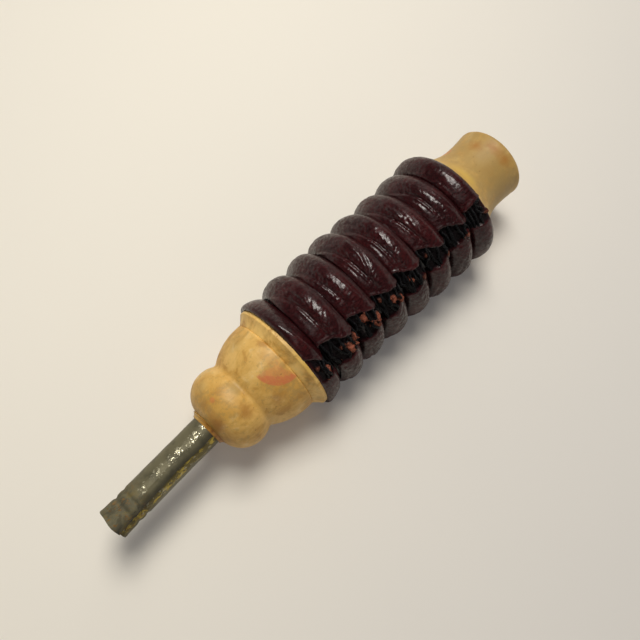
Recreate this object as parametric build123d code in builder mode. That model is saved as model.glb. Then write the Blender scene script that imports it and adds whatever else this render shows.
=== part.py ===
from build123d import *

import os
from math import cos, pi, radians, sin, sqrt

# Bellows bird call lying on its side: a turned boxwood head holds a rolled sheet-metal whistle,
# a ring-pleated leather sleeve joins the head to a turned boxwood knob, and pushing the knob
# towards the head blows the whistle. The long axis runs along X, whistle towards -X, knob
# towards +X. Lengths are in millimetres. "Station" is the distance along the long axis from
# the rear face of the head's flange, where the leather begins.

# Leather sleeve
crest_radius = 17.7
pitch = 9.0
pleats = 6
pleat_depth = 4.0
leather = 1.2
rest_flat = 0.5
first_valley = 6.3
rear_crest_reach = 4.2
rear_crest_radius = 18.0
rear_crest_round = 1.2
rear_hem_length = 7.1
rear_edge_radius = 16.4
rear_hem_swell = 0.5
hem_edge_round = 1.0

# Fits
glue_gap = 0.15
push_fit = 0.02

# Whippings that tie the sleeve into the end valleys
binding_width = 1.9
binding_thickness = 0.9
binding_sink = 3.15
binding_play = 0.1
binding_edge = 0.3

# Sewn seam, its angle measured from straight up towards -Y
seam_angle = 46.0
thread_radius = 0.45
stitch_half_width = 3.0
stitches_per_pleat = 4
stitch_rise = 0.4
stitch_wave = 0.75
stitch_bend = 0.5
stitch_start = 1.8
stitch_count = 30

# Turned head
head_length = 27.5
bulb_radius = 12.0
bulb_round = 7.65
notch_radius = 10.7
notch_fillet = 1.2
cup_radius = 14.4
cup_station = -4.8
scribe_station = -3.4
scribe_half_width = 0.25
scribe_depth = 0.28
lip_step = 0.2
lip_width = 0.9
lip_round = 0.3
flare_hollow = 0.12
drum_flat = 1.4
drum_round = 2.5
spigot_bead_height = 1.7
spigot_bead_length = 2.3
spigot_bead_round = 0.6
air_hole_radius = 2.6

# Turned knob
knob_length = 20.4
knob_shoulder_step = 0.45
knob_neck_radius = 11.0
knob_neck_reach = 12.1
knob_rim_radius = 11.6
knob_rim_round = 1.2

# Return spring
wire_radius = 0.6
spring_turns = 7
seat_wall = 2.4
seat_depth = 3.0
seat_clearance = 0.3

# Whistle
tube_exposed = 33.7
tube_seat = 18.0
tube_radius = 4.45
tube_wall = 0.45
tube_lean = 2.0
lap_angle = 41.0
lap_step = 0.42
lap_sweep = 150.0
tube_fit = 0.03
crimp_stations = (5.0, 7.8)
crimp_half_width = 0.8
crimp_depth = 0.25
window_start = 4.2
window_length = 5.0
window_width = 5.0
labium_length = 2.3
windway = 1.1
stopper_length = 3.5
stopper_recess = 0.6
stopper_round = 0.4
seal_size = 1.0
seal_swell = 0.35

# Long axis and frame
half_pitch = pitch / 2
last_valley = first_valley + pleats * pitch
rear_edge = last_valley + rear_hem_length
knob_end = rear_edge + knob_length
nose = -head_length
lean = radians(tube_lean)
tip_reach = tube_exposed * cos(lean) + (tube_radius + lap_step) * sin(lean) - nose
axis_height = crest_radius - rest_flat
flange = Vector((tip_reach - knob_end) / 2, 0, axis_height)
long_plane = Plane(origin=flange, x_dir=(1, 0, 0), z_dir=(0, -1, 0))
long_axis = Axis(flange, (1, 0, 0))

# Pleat arcs: the outer face of each bulge is an arc, the inner face the same arc less the leather
bulge_round = (half_pitch**2 + pleat_depth**2) / (2 * pleat_depth)
bulge_centre = crest_radius - bulge_round
hollow_round = bulge_round - leather
valleys = [first_valley + i * pitch for i in range(pleats + 1)]
crests = [valley + half_pitch for valley in valleys[:-1]]

# Ends of the sleeve, tied down on the grooves of the head and the knob
channel_half = binding_width / 2 + binding_play
binding_top = crest_radius - binding_sink
channel_floor = binding_top - binding_thickness
groove_radius = channel_floor - leather - glue_gap
drum_radius = crest_radius - leather - glue_gap
hem_round = drum_round + glue_gap + leather
hem_centre = crest_radius - hem_round
hem_foot = drum_flat + sqrt(hem_round**2 - (channel_floor - hem_centre) ** 2)
hem_inner_foot = drum_flat + sqrt((hem_round - leather) ** 2 - (channel_floor - leather - hem_centre) ** 2)
drum_foot = drum_flat + sqrt(drum_round**2 - (groove_radius - hem_centre) ** 2)
first_wall = first_valley + channel_half
last_wall = last_valley - channel_half
wall_top = bulge_centre + sqrt(bulge_round**2 - (half_pitch - channel_half) ** 2)
wall_inner_top = bulge_centre + sqrt(hollow_round**2 - (half_pitch - channel_half - leather) ** 2)
rear_foot = last_valley + channel_half
rear_crest = last_valley + rear_crest_reach
seat_drop = leather + glue_gap
lip_radius = drum_radius + lip_step
bead_radius = groove_radius + spigot_bead_height
bead_front = first_wall + seat_drop
bead_rear = last_wall - seat_drop
spigot_length = bead_front + spigot_bead_length

# Spring seats turned into both spigots
seat_radius = groove_radius - seat_wall
coil_radius = seat_radius - seat_clearance - wire_radius
knob_spigot = bead_rear - spigot_bead_length

# Whistle axis, leaning a little towards -Y
tube_root = flange + Vector(nose, 0, 0)
tipward = Vector(-cos(lean), -sin(lean), 0)
tube_section = Plane(origin=tube_root - tipward * tube_seat, x_dir=(0, 0, 1), z_dir=tipward)
tube_plane = Plane(origin=tube_root, x_dir=tipward, z_dir=tipward.cross(Vector(0, 0, 1)))
tube_axis = Axis(tube_root, tipward)
tube_bore = tube_radius - tube_wall
head_bore = tube_radius + lap_step + tube_fit


def between(start, end, swell):
    """Point beside the middle of the chord from start to end, swell to its left."""
    along = Vector(*end) - Vector(*start)
    left = Vector(-along.Y, along.X).normalized()
    return (Vector(*start) + Vector(*end)) / 2 + left * swell


def round_corner(profile, corner, radius):
    """Round the profile's corner nearest to the given station and radius."""
    fillet(profile.vertices().sort_by_distance(corner).first, radius)


def export_piece(builder, label):
    """Name one finished piece and write its STEP file."""
    builder.part.label = label
    export_step(builder.part, f"parts/{label}.step")


# The taper of the sleeve's rear hem over the knob's shoulder, outer face of the leather
taper_start = (rear_crest, rear_crest_radius)
taper_end = (rear_edge, rear_edge_radius)
taper_middle = between(taper_start, taper_end, rear_hem_swell)
rear_rise_middle = between((rear_foot, channel_floor), taper_start, rear_hem_swell)


def lowered(point, drop):
    """The same station, closer to the long axis."""
    return (Vector(*point).X, Vector(*point).Y - drop)


# Leather sleeve: one revolved skin with a smooth front hem, ring pleats and a tapering rear hem
with BuildPart() as bellows_leather:
    with BuildSketch(long_plane) as sleeve_profile:
        with BuildLine():
            Line((glue_gap, crest_radius - leather), (glue_gap, crest_radius))
            Line((glue_gap, crest_radius), (drum_flat, crest_radius))
            hem_middle = hem_centre + hem_round / sqrt(2)
            ThreePointArc(
                (drum_flat, crest_radius),
                (drum_flat + hem_round / sqrt(2), hem_middle),
                (hem_foot, channel_floor),
            )
            Line((hem_foot, channel_floor), (first_wall, channel_floor))
            Line((first_wall, channel_floor), (first_wall, wall_top))
            for crest in crests:
                left = (crest - half_pitch, crest_radius - pleat_depth)
                right = (crest + half_pitch, crest_radius - pleat_depth)
                if crest == crests[0]:
                    left = (first_wall, wall_top)
                if crest == crests[-1]:
                    right = (last_wall, wall_top)
                ThreePointArc(left, (crest, crest_radius), right)
            Line((last_wall, wall_top), (last_wall, channel_floor))
            Line((last_wall, channel_floor), (rear_foot, channel_floor))
            ThreePointArc((rear_foot, channel_floor), rear_rise_middle, taper_start)
            ThreePointArc(taper_start, taper_middle, taper_end)
            Line(taper_end, lowered(taper_end, leather))
            ThreePointArc(
                lowered(taper_end, leather),
                lowered(taper_middle, leather),
                lowered(taper_start, leather),
            )
            rear_inner_foot = (rear_foot + leather, channel_floor - leather)
            ThreePointArc(
                lowered(taper_start, leather),
                between(rear_inner_foot, lowered(taper_start, leather), rear_hem_swell),
                rear_inner_foot,
            )
            Line(rear_inner_foot, (last_wall - leather, channel_floor - leather))
            Line((last_wall - leather, channel_floor - leather), (last_wall - leather, wall_inner_top))
            for crest in reversed(crests):
                right = (crest + hollow_round, bulge_centre)
                left = (crest - hollow_round, bulge_centre)
                if crest == crests[-1]:
                    right = (last_wall - leather, wall_inner_top)
                if crest == crests[0]:
                    left = (first_wall + leather, wall_inner_top)
                ThreePointArc(right, (crest, crest_radius - leather), left)
                if crest != crests[0]:
                    Line(left, (crest - pitch + hollow_round, bulge_centre))
            Line((first_wall + leather, wall_inner_top), (first_wall + leather, channel_floor - leather))
            Line((first_wall + leather, channel_floor - leather), (hem_inner_foot, channel_floor - leather))
            inner_round = hem_round - leather
            ThreePointArc(
                (hem_inner_foot, channel_floor - leather),
                (drum_flat + inner_round / sqrt(2), hem_centre + inner_round / sqrt(2)),
                (drum_flat, crest_radius - leather),
            )
            Line((drum_flat, crest_radius - leather), (glue_gap, crest_radius - leather))
        make_face()
        round_corner(sleeve_profile, (glue_gap, crest_radius), hem_edge_round)
        round_corner(sleeve_profile, taper_start, rear_crest_round + seat_drop)
        round_corner(sleeve_profile, lowered(taper_start, leather), rear_crest_round + glue_gap)
    revolve(axis=long_axis)
    split(bisect_by=Plane.XY, keep=Keep.TOP)


# Turned head: bulb, cup and flared flange in front, a drum and a grooved spigot inside the sleeve
bulb_station = nose + bulb_round
notch_station = bulb_station + sqrt(bulb_round**2 - (notch_radius - bulb_radius + bulb_round) ** 2)
cup_round = ((cup_station - notch_station) ** 2 + (cup_radius - notch_radius) ** 2) / (
    2 * (cup_radius - notch_radius)
)
cup_middle_station = (notch_station + cup_station) / 2
cup_middle_radius = cup_radius - cup_round + sqrt(cup_round**2 - (cup_station - cup_middle_station) ** 2)
flare_start = (scribe_station + scribe_half_width, cup_radius)
flare_end = (-lip_width, lip_radius)

with BuildPart() as turned_head:
    with BuildSketch(long_plane) as head_profile:
        with BuildLine():
            Line((nose, 0), (nose, bulb_radius - bulb_round))
            ThreePointArc(
                (nose, bulb_radius - bulb_round),
                (bulb_station, bulb_radius),
                (notch_station, notch_radius),
            )
            ThreePointArc(
                (notch_station, notch_radius),
                (cup_middle_station, cup_middle_radius),
                (cup_station, cup_radius),
            )
            Polyline(
                (cup_station, cup_radius),
                (scribe_station - scribe_half_width, cup_radius),
                (scribe_station, cup_radius - scribe_depth),
                flare_start,
            )
            ThreePointArc(flare_start, between(flare_start, flare_end, -flare_hollow), flare_end)
            Polyline(
                flare_end,
                (0, lip_radius),
                (0, drum_radius),
                (drum_flat, drum_radius),
            )
            ThreePointArc(
                (drum_flat, drum_radius),
                (drum_flat + drum_round / sqrt(2), hem_centre + drum_round / sqrt(2)),
                (drum_foot, groove_radius),
            )
            Polyline(
                (drum_foot, groove_radius),
                (bead_front, groove_radius),
                (bead_front, bead_radius),
                (spigot_length, bead_radius),
                (spigot_length, 0),
                (nose, 0),
            )
        make_face()
        round_corner(head_profile, (notch_station, notch_radius), notch_fillet)
        round_corner(head_profile, flare_end, lip_round)
        round_corner(head_profile, (bead_front, bead_radius), spigot_bead_round)
        round_corner(head_profile, (spigot_length, bead_radius), spigot_bead_round)
    revolve(axis=long_axis)
    with BuildSketch(tube_section):
        Circle(head_bore)
    extrude(amount=tube_seat + head_length, mode=Mode.SUBTRACT)
    with BuildSketch(tube_plane):
        with BuildLine():
            Polyline(
                (-seal_size, 0),
                (-seal_size, head_bore),
                (seal_size, head_bore + 2 * seal_size),
                (seal_size, 0),
                close=True,
            )
        make_face()
    revolve(axis=tube_axis, mode=Mode.SUBTRACT)
    with BuildSketch(Plane(origin=flange + Vector(spigot_length, 0, 0), z_dir=(-1, 0, 0))):
        Circle(air_hole_radius)
    extrude(amount=spigot_length + head_length - tube_seat + air_hole_radius, mode=Mode.SUBTRACT)
    with BuildSketch(Plane(origin=flange + Vector(spigot_length, 0, 0), z_dir=(-1, 0, 0))):
        Circle(seat_radius)
    extrude(amount=seat_depth, mode=Mode.SUBTRACT)


# Turned knob: a grooved spigot and shoulder inside the sleeve, a waisted grip and a flat end
knob_seat_radius = rear_edge_radius - seat_drop
knob_grip_radius = knob_seat_radius + knob_shoulder_step
knob_neck = rear_edge + knob_neck_reach
knob_rise_foot = (rear_foot + seat_drop, groove_radius)
knob_rise_top = lowered(taper_start, seat_drop)

with BuildPart() as rear_knob:
    with BuildSketch(long_plane) as knob_profile:
        with BuildLine():
            Polyline(
                (knob_spigot, 0),
                (knob_spigot, bead_radius),
                (bead_rear, bead_radius),
                (bead_rear, groove_radius),
                knob_rise_foot,
            )
            ThreePointArc(
                knob_rise_foot,
                between(knob_rise_foot, knob_rise_top, rear_hem_swell),
                knob_rise_top,
            )
            ThreePointArc(
                knob_rise_top,
                lowered(taper_middle, seat_drop),
                lowered(taper_end, seat_drop),
            )
            Polyline(
                lowered(taper_end, seat_drop),
                (rear_edge + glue_gap, knob_seat_radius),
                (rear_edge + glue_gap, knob_grip_radius),
            )
            TangentArc((knob_neck, knob_neck_radius), (rear_edge + glue_gap, knob_grip_radius), tangent=(-1, 0))
            TangentArc((knob_neck, knob_neck_radius), (knob_end, knob_rim_radius), tangent=(1, 0))
            Polyline((knob_end, knob_rim_radius), (knob_end, 0), (knob_spigot, 0))
        make_face()
        round_corner(knob_profile, (knob_spigot, bead_radius), spigot_bead_round)
        round_corner(knob_profile, (bead_rear, bead_radius), spigot_bead_round)
        round_corner(knob_profile, knob_rise_top, rear_crest_round)
        round_corner(knob_profile, (knob_end, knob_rim_radius), knob_rim_round)
    revolve(axis=long_axis)
    with BuildSketch(Plane(origin=flange + Vector(knob_spigot, 0, 0), z_dir=(1, 0, 0))):
        Circle(seat_radius)
    extrude(amount=seat_depth, mode=Mode.SUBTRACT)


# Thread whippings lying in the two end valleys
with BuildPart() as front_binding:
    with BuildSketch(long_plane):
        with Locations((first_valley, channel_floor + (binding_thickness + binding_play) / 2)):
            RectangleRounded(binding_width, binding_thickness - binding_play, binding_edge)
    revolve(axis=long_axis)

with BuildPart() as rear_binding:
    with BuildSketch(long_plane):
        with Locations((last_valley, channel_floor + (binding_thickness + binding_play) / 2)):
            RectangleRounded(binding_width, binding_thickness - binding_play, binding_edge)
    revolve(axis=long_axis)


# Seam thread: one waxed thread zigzagging over the pleats from hem to hem
def seam_radius(station):
    """Radius of the seam line: it waves over the pleats and follows the taper of the rear hem."""
    if station > rear_crest:
        share = (station - rear_crest) / (rear_edge - rear_crest)
        crown = 4 * rear_hem_swell * share * (1 - share)
        return rear_crest_radius + share * (rear_edge_radius - rear_crest_radius) + crown
    wave = cos(2 * pi * (station - crests[0]) / pitch)
    return crest_radius - stitch_wave * (1 - wave)


def stitch_point(index):
    """Needle point of the seam, alternately left and right of the seam line."""
    station = stitch_start + index * pitch / stitches_per_pleat
    radius = seam_radius(station) + stitch_rise
    side = stitch_half_width if index % 2 else -stitch_half_width
    angle = radians(seam_angle) + side / radius
    return flange + Vector(station, -radius * sin(angle), radius * cos(angle))


with BuildPart() as seam_thread:
    with BuildLine() as stitch_path:
        FilletPolyline(*[stitch_point(i) for i in range(stitch_count)], radius=stitch_bend)
    with BuildSketch(Plane(origin=stitch_path.line @ 0, z_dir=stitch_path.line % 0)):
        Circle(thread_radius)
    sweep()


# Return spring: an open coil between the two spring seats
spring_start = spigot_length - seat_depth + wire_radius + push_fit
spring_finish = knob_spigot + seat_depth - wire_radius - push_fit
spring_rate = (spring_finish - spring_start) / spring_turns


def coil_point(turn):
    """Point on the wire's centre line after so many turns."""
    angle = 2 * pi * turn
    station = spring_start + spring_rate * turn
    return flange + Vector(station, coil_radius * cos(angle), coil_radius * sin(angle))


def coil_tangent(turn):
    """Direction of the wire after so many turns."""
    angle = 2 * pi * turn
    around = 2 * pi * coil_radius
    return Vector(spring_rate, -around * sin(angle), around * cos(angle)).normalized()


def arc_joint(start, start_tangent, end, end_tangent):
    """Where two arcs meet that leave start and reach end along the given tangents."""
    chord = end - start
    both = start_tangent + end_tangent
    spread = 4 - both.dot(both)
    lean_on = chord.dot(both)
    reach = (sqrt(lean_on**2 + spread * chord.dot(chord)) - lean_on) / spread
    return (start + end + (start_tangent - end_tangent) * reach) / 2


with BuildPart() as return_spring:
    with BuildLine() as coil_path:
        for quarter in range(4 * spring_turns):
            start = coil_point(quarter / 4)
            end = coil_point((quarter + 1) / 4)
            start_tangent = coil_tangent(quarter / 4)
            end_tangent = coil_tangent((quarter + 1) / 4)
            joint = arc_joint(start, start_tangent, end, end_tangent)
            first_arc = TangentArc(start, joint, tangent=start_tangent)
            TangentArc(joint, end, tangent=first_arc % 1)
    with BuildSketch(Plane(origin=coil_point(0), z_dir=coil_tangent(0))):
        Circle(wire_radius)
    sweep()

coil_samples = [coil_point(i / 16) for i in range(16 * spring_turns + 1)]
turn_gaps = [
    (coil_samples[i] - coil_samples[j]).length - 2 * wire_radius
    for i in range(len(coil_samples))
    for j in range(i + 8, len(coil_samples))
]
print(f"least gap between spring turns {min(turn_gaps):.2f} mm")


# Whistle tube: sheet rolled into a pipe with a lap seam, a crimp near the tip, a mouth underneath
def around_tube(angle, radius):
    """Point of the tube's section, angle in degrees from straight up, -Y side negative."""
    return (radius * cos(radians(angle)), radius * sin(radians(angle)))


lap_end = lap_sweep - lap_angle
lap_middle = lap_sweep / 2 - lap_angle
tube_length = tube_seat + tube_exposed

with BuildPart() as whistle_tube:
    with BuildSketch(tube_section):
        Circle(tube_radius)
        with BuildLine():
            Line(around_tube(-lap_angle, tube_bore), around_tube(-lap_angle, tube_radius + lap_step))
            ThreePointArc(
                around_tube(-lap_angle, tube_radius + lap_step),
                around_tube(lap_middle, tube_radius + lap_step / 2),
                around_tube(lap_end, tube_radius),
            )
            Line(around_tube(lap_end, tube_radius), around_tube(lap_end, tube_bore))
            ThreePointArc(
                around_tube(lap_end, tube_bore),
                around_tube(lap_middle, tube_bore),
                around_tube(-lap_angle, tube_bore),
            )
        make_face()
        Circle(tube_bore, mode=Mode.SUBTRACT)
    extrude(amount=tube_length)
    for setback in crimp_stations:
        middle = tube_exposed - setback
        with BuildSketch(tube_plane):
            with BuildLine():
                ThreePointArc(
                    (middle - crimp_half_width, tube_radius),
                    (middle, tube_radius - crimp_depth),
                    (middle + crimp_half_width, tube_radius),
                )
                Polyline(
                    (middle + crimp_half_width, tube_radius),
                    (middle + crimp_half_width, tube_radius + 2 * lap_step),
                    (middle - crimp_half_width, tube_radius + 2 * lap_step),
                    (middle - crimp_half_width, tube_radius),
                )
            make_face()
        revolve(axis=tube_axis, mode=Mode.SUBTRACT)
        with BuildSketch(tube_plane):
            with BuildLine():
                ThreePointArc(
                    (middle - crimp_half_width, tube_bore),
                    (middle, tube_bore - crimp_depth),
                    (middle + crimp_half_width, tube_bore),
                )
                Line((middle + crimp_half_width, tube_bore), (middle - crimp_half_width, tube_bore))
            make_face()
        revolve(axis=tube_axis)
    with BuildSketch(tube_plane):
        with BuildLine():
            mouth_end = window_start + window_length
            Polyline(
                (window_start, windway - tube_bore),
                (mouth_end, -tube_bore),
                (mouth_end + labium_length, -tube_radius),
                (mouth_end + labium_length, -2 * tube_radius),
                (window_start, -2 * tube_radius),
                close=True,
            )
        make_face()
    extrude(amount=window_width / 2, both=True, mode=Mode.SUBTRACT)


# Whistle block: a wooden plug with a flat that leaves the windway open along the mouth side
with BuildPart() as whistle_block:
    with BuildSketch(tube_section):
        Circle(tube_bore - push_fit)
        with Locations((windway - 2 * tube_bore, 0)):
            Rectangle(2 * tube_bore, 2 * tube_bore, mode=Mode.SUBTRACT)
    extrude(amount=tube_seat + window_start)


# End stopper: a plug held between the tip and the crimp, closing the pipe
with BuildPart() as end_stopper:
    with BuildSketch(tube_section.offset(tube_length - stopper_recess - stopper_length)):
        Circle(tube_bore - push_fit)
    extrude(amount=stopper_length)
    fillet(end_stopper.edges().filter_by(GeomType.CIRCLE), stopper_round)


# Shellac seal filling the countersink where the tube enters the head
with BuildPart() as tube_seal:
    with BuildSketch(tube_plane):
        seal_front = (seal_size, head_bore)
        seal_rim = (0, head_bore + seal_size)
        with BuildLine():
            Polyline(seal_front, (-seal_size, head_bore), seal_rim)
            ThreePointArc(seal_rim, between(seal_rim, seal_front, -seal_swell / 2), seal_front)
        make_face()
    revolve(axis=tube_axis)


os.makedirs("parts", exist_ok=True)
export_piece(whistle_tube, "whistle_tube")
export_piece(whistle_block, "whistle_block")
export_piece(end_stopper, "end_stopper")
export_piece(tube_seal, "tube_seal")
export_piece(turned_head, "turned_head")
export_piece(front_binding, "front_binding")
export_piece(bellows_leather, "bellows_leather")
export_piece(seam_thread, "seam_thread")
export_piece(return_spring, "return_spring")
export_piece(rear_binding, "rear_binding")
export_piece(rear_knob, "rear_knob")
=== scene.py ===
import math

import bmesh
import bpy
import numpy as np
from bpy.props import FloatProperty, FloatVectorProperty, IntProperty, PointerProperty
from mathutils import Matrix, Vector, noise
from mathutils.bvhtree import BVHTree


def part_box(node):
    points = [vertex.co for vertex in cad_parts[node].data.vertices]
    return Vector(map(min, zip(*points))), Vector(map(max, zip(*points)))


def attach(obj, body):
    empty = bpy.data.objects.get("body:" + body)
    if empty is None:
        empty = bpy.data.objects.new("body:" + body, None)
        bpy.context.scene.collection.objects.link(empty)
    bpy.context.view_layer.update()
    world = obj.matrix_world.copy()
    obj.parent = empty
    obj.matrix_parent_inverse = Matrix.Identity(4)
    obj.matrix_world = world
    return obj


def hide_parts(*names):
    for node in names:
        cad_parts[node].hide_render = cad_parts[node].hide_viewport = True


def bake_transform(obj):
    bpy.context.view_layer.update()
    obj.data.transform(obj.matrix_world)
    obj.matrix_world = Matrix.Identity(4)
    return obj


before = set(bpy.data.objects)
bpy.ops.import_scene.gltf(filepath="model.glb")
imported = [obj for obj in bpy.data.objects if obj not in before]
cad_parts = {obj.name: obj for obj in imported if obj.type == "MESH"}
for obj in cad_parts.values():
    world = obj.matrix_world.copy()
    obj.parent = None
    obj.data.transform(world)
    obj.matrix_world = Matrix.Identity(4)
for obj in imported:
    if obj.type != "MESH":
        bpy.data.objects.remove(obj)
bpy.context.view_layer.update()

bl_info = {
    "name": "Bellows bird call",
    "version": (1, 0, 0),
    "blender": (4, 5, 0),
    "location": "View3D > Sidebar > Bird call",
    "description": "Dresses the packed bellows bird call in leather, thread, boxwood and tarnished metal",
    "category": "Object",
}

MM = 0.001
TURN = 2 * math.pi
leather_low, leather_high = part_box("bellows_leather")
knob_low, knob_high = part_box("rear_knob")
head_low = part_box("turned_head")[0]
spring_low, spring_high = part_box("return_spring")
front_tie_low, front_tie_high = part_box("front_binding")
rear_tie_low, rear_tie_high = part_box("rear_binding")

# The long axis, and station 0 at the flange where the leather begins
AXIS_HEIGHT = (knob_low.z + knob_high.z) / 2
GLUE_GAP = 0.15 * MM
FLANGE_X = leather_low.x - GLUE_GAP
FIRST_VALLEY = (front_tie_low.x + front_tie_high.x) / 2 - FLANGE_X
LAST_VALLEY = (rear_tie_low.x + rear_tie_high.x) / 2 - FLANGE_X
REAR_EDGE = leather_high.x - FLANGE_X
REST_FLAT = 0.5 * MM


def length_setting(name, description, default):
    """A length that a user may change, in metres."""
    return FloatProperty(name=name, description=description, default=default, subtype="DISTANCE")


def angle_setting(name, description, degrees):
    """An angle that a user may change, given in degrees."""
    return FloatProperty(name=name, description=description, default=math.radians(degrees), subtype="ANGLE")


def colour_setting(name, description, default):
    """A colour that a user may change."""
    return FloatVectorProperty(name=name, description=description, default=default, subtype="COLOR")


class SleeveSizes(bpy.types.PropertyGroup):
    """Sizes and colours of the sewn leather sleeve."""

    crest_radius: length_setting(
        "Crest radius", "Radius of the sleeve over the crown of a pleat", AXIS_HEIGHT + REST_FLAT
    )
    pleats: IntProperty(name="Pleats", description="Free ring pleats between the ties", default=6)
    depth: length_setting("Pleat depth", "From the crown of a pleat down to its crease", 4.4 * MM)
    lean: length_setting("Lean", "How far the crowns lean to and fro along the axis", 0.45 * MM)
    wrinkle: length_setting("Wrinkle depth", "Depth of the fine wrinkles on the crowns", 0.2 * MM)
    seam_angle: angle_setting("Seam angle", "Middle of the seam, from straight up towards -Y", 48)
    seam_recess: length_setting(
        "Seam recess", "How far the sewn edges lie below the leather beside them", 0.9 * MM
    )
    leather: colour_setting("Leather", "Oxblood of the dressed leather", (0.030, 0.0044, 0.0054))
    raw_edge: colour_setting("Raw edge", "Cut edges of the leather between the stitches", (0.31, 0.098, 0.06))


class ThreadSizes(bpy.types.PropertyGroup):
    """Sizes and colour of the sewing and whipping thread."""

    radius: length_setting("Thread radius", "Radius over both plies", 0.40 * MM)
    colour: colour_setting("Thread", "Black waxed thread", (0.0015, 0.0014, 0.0021))


class PipeSizes(bpy.types.PropertyGroup):
    """Sizes and colours of the rolled whistle pipe."""

    radius: length_setting("Pipe radius", "Outside of the inner layer", 4.45 * MM)
    sheet: length_setting("Sheet", "Thickness of the sheet metal", 0.4 * MM)
    lap: length_setting("Lap", "Height of the lap's step", 0.42 * MM)
    lap_angle: angle_setting("Lap angle", "Free edge of the lap, from straight up towards -Y", 41)
    lean: angle_setting("Lean", "Lean of the pipe towards -Y", 2)
    exposed: length_setting("Exposed length", "Pipe outside the head", 33.7 * MM)
    seated: length_setting("Seated length", "Pipe inside the head", 18 * MM)
    tarnish: colour_setting("Tarnish", "Grey-olive tarnish over the plating", (0.150, 0.134, 0.074))
    brass: colour_setting("Brass", "Yellow metal where the plating has gone", (0.46, 0.34, 0.05))


class WoodColours(bpy.types.PropertyGroup):
    """Colours of the turned boxwood."""

    pale: colour_setting("Pale wood", "Clean boxwood", (0.74, 0.465, 0.135))
    warm: colour_setting("Warm wood", "Handled boxwood", (0.60, 0.33, 0.065))
    stain: colour_setting("Stain", "Brown stains", (0.38, 0.165, 0.028))
    worn: colour_setting("Worn wood", "Rubbed, paler boxwood", (0.78, 0.56, 0.26))
    # dirt colour, also used as painted shade on the knob's -Y side
    dirt: colour_setting("Dirt", "Greyish handling dirt", (0.36, 0.235, 0.075))
    golden: colour_setting("Golden stain", "Yellow glue and polish beside the leather", (0.64, 0.41, 0.07))
    # painted light: paler wood painted on the flare, whose face turns down away from the lamps
    flare_painted_light: colour_setting("Clean flare", "Paler wood on the flare", (0.95, 0.64, 0.20))
    rouge: colour_setting("Red stain", "Worn red stain", (0.60, 0.165, 0.06))


class StageSettings(bpy.types.PropertyGroup):
    """Floor, lamps and camera."""

    lens: FloatProperty(name="Lens", description="Focal length", default=37.69, unit="CAMERA")
    station: FloatVectorProperty(
        name="Camera",
        description="Where the camera stands",
        default=(FLANGE_X - 0.03157, -0.0452, 0.1929),
        subtype="XYZ",
    )
    sight: FloatVectorProperty(
        name="Sight",
        description="Direction the camera looks in",
        default=(0.24577, 0.24410, -0.93809),
        subtype="DIRECTION",
    )
    floor: colour_setting("Floor", "Warm off-white floor", (0.83, 0.785, 0.68))
    # painted shade: the floor's colour where it lies away from the lamps
    floor_shade: colour_setting("Floor shade", "Floor away from the window", (0.63, 0.605, 0.56))
    # painted fill light: a glow seen only by camera, glossy and transmission rays, lightening the floor's
    # shadows
    floor_painted_fill: colour_setting("Floor lift", "Paleness of the floor in the shadow", (0.055, 0.053, 0.056))
    horizon: colour_setting("Horizon", "Paleness of the far floor and the wall", (0.66, 0.63, 0.57))
    key_power: FloatProperty(name="Key lamp", description="Power of the key lamp", default=3.15, unit="POWER")
    broad_power: FloatProperty(
        name="Broad lamp", description="Power of the long lamp", default=1.1, unit="POWER"
    )
    sky: FloatProperty(name="Wall light", description="Strength of the light from the walls", default=0.40)
    ceiling: FloatProperty(name="Ceiling light", description="Strength of the light from above", default=0.05)


def at_station(centre):
    """Frame point from station, y and z in millimetres."""
    x, y, z = centre
    return FLANGE_X + x * MM, y * MM, z * MM


def shaded(colour, share):
    """A colour made darker."""
    return [c * share for c in colour]


class Term:
    """A socket in the maths of a material or of the room; operators on it add Math nodes."""

    def __init__(self, sheet, socket):
        self.sheet = sheet
        self.socket = socket

    def __add__(self, other):
        return self.sheet.math("ADD", self, other)

    def __sub__(self, other):
        return self.sheet.math("SUBTRACT", self, other)

    def __mul__(self, other):
        return self.sheet.math("MULTIPLY", self, other)

    def __rsub__(self, other):
        return self.sheet.math("SUBTRACT", other, self)

    __radd__ = __add__
    __rmul__ = __mul__


class NodeSheet:
    """The nodes of one material or of the room, with short ways to add and join them."""

    def __init__(self, owner):
        owner.use_nodes = True
        self.tree = owner.node_tree

    def node(self, kind, settings=None, inputs=None, output=0):
        """Add a node, set its settings, fill its sockets and give back one output."""
        made = self.tree.nodes.new(kind)
        for key, value in (settings or {}).items():
            setattr(made, key, value)
        for key, value in (inputs or {}).items():
            if isinstance(value, Term):
                self.tree.links.new(value.socket, made.inputs[key])
            else:
                made.inputs[key].default_value = value
        return Term(self, made.outputs[output])

    def math(self, operation, first, second):
        return self.node("ShaderNodeMath", {"operation": operation}, {0: first, 1: second})

    def vector(self, operation, first, second=(0, 0, 0)):
        """Vector maths; a length or a dot product comes back as a plain number."""
        output = "Value" if operation in ("LENGTH", "DOT_PRODUCT") else "Vector"
        return self.node("ShaderNodeVectorMath", {"operation": operation}, {0: first, 1: second}, output)

    def mix(self, first, second, share):
        """Colour that goes from first to second as share goes from 0 to 1."""
        first, second = (c if isinstance(c, Term) else (*c, 1) for c in (first, second))
        return self.node(
            "ShaderNodeMix", {"data_type": "RGBA"}, {0: share, 6: first, 7: second}, output=2
        )

    def span(self, value, low, high, shape="SMOOTHSTEP"):
        """0 to 1 as value goes from low to high, eased at both ends unless the shape says otherwise."""
        return self.node(
            "ShaderNodeMapRange",
            {"interpolation_type": shape},
            {"Value": value, "From Min": low, "From Max": high},
        )

    def background_rays(self):
        """1 for rays from the camera, off metal or through glass, which see the pale background."""
        camera, mirrored, through = (
            self.node("ShaderNodeLightPath", output=kind)
            for kind in ("Is Camera Ray", "Is Glossy Ray", "Is Transmission Ray")
        )
        return camera + mirrored + through


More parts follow.
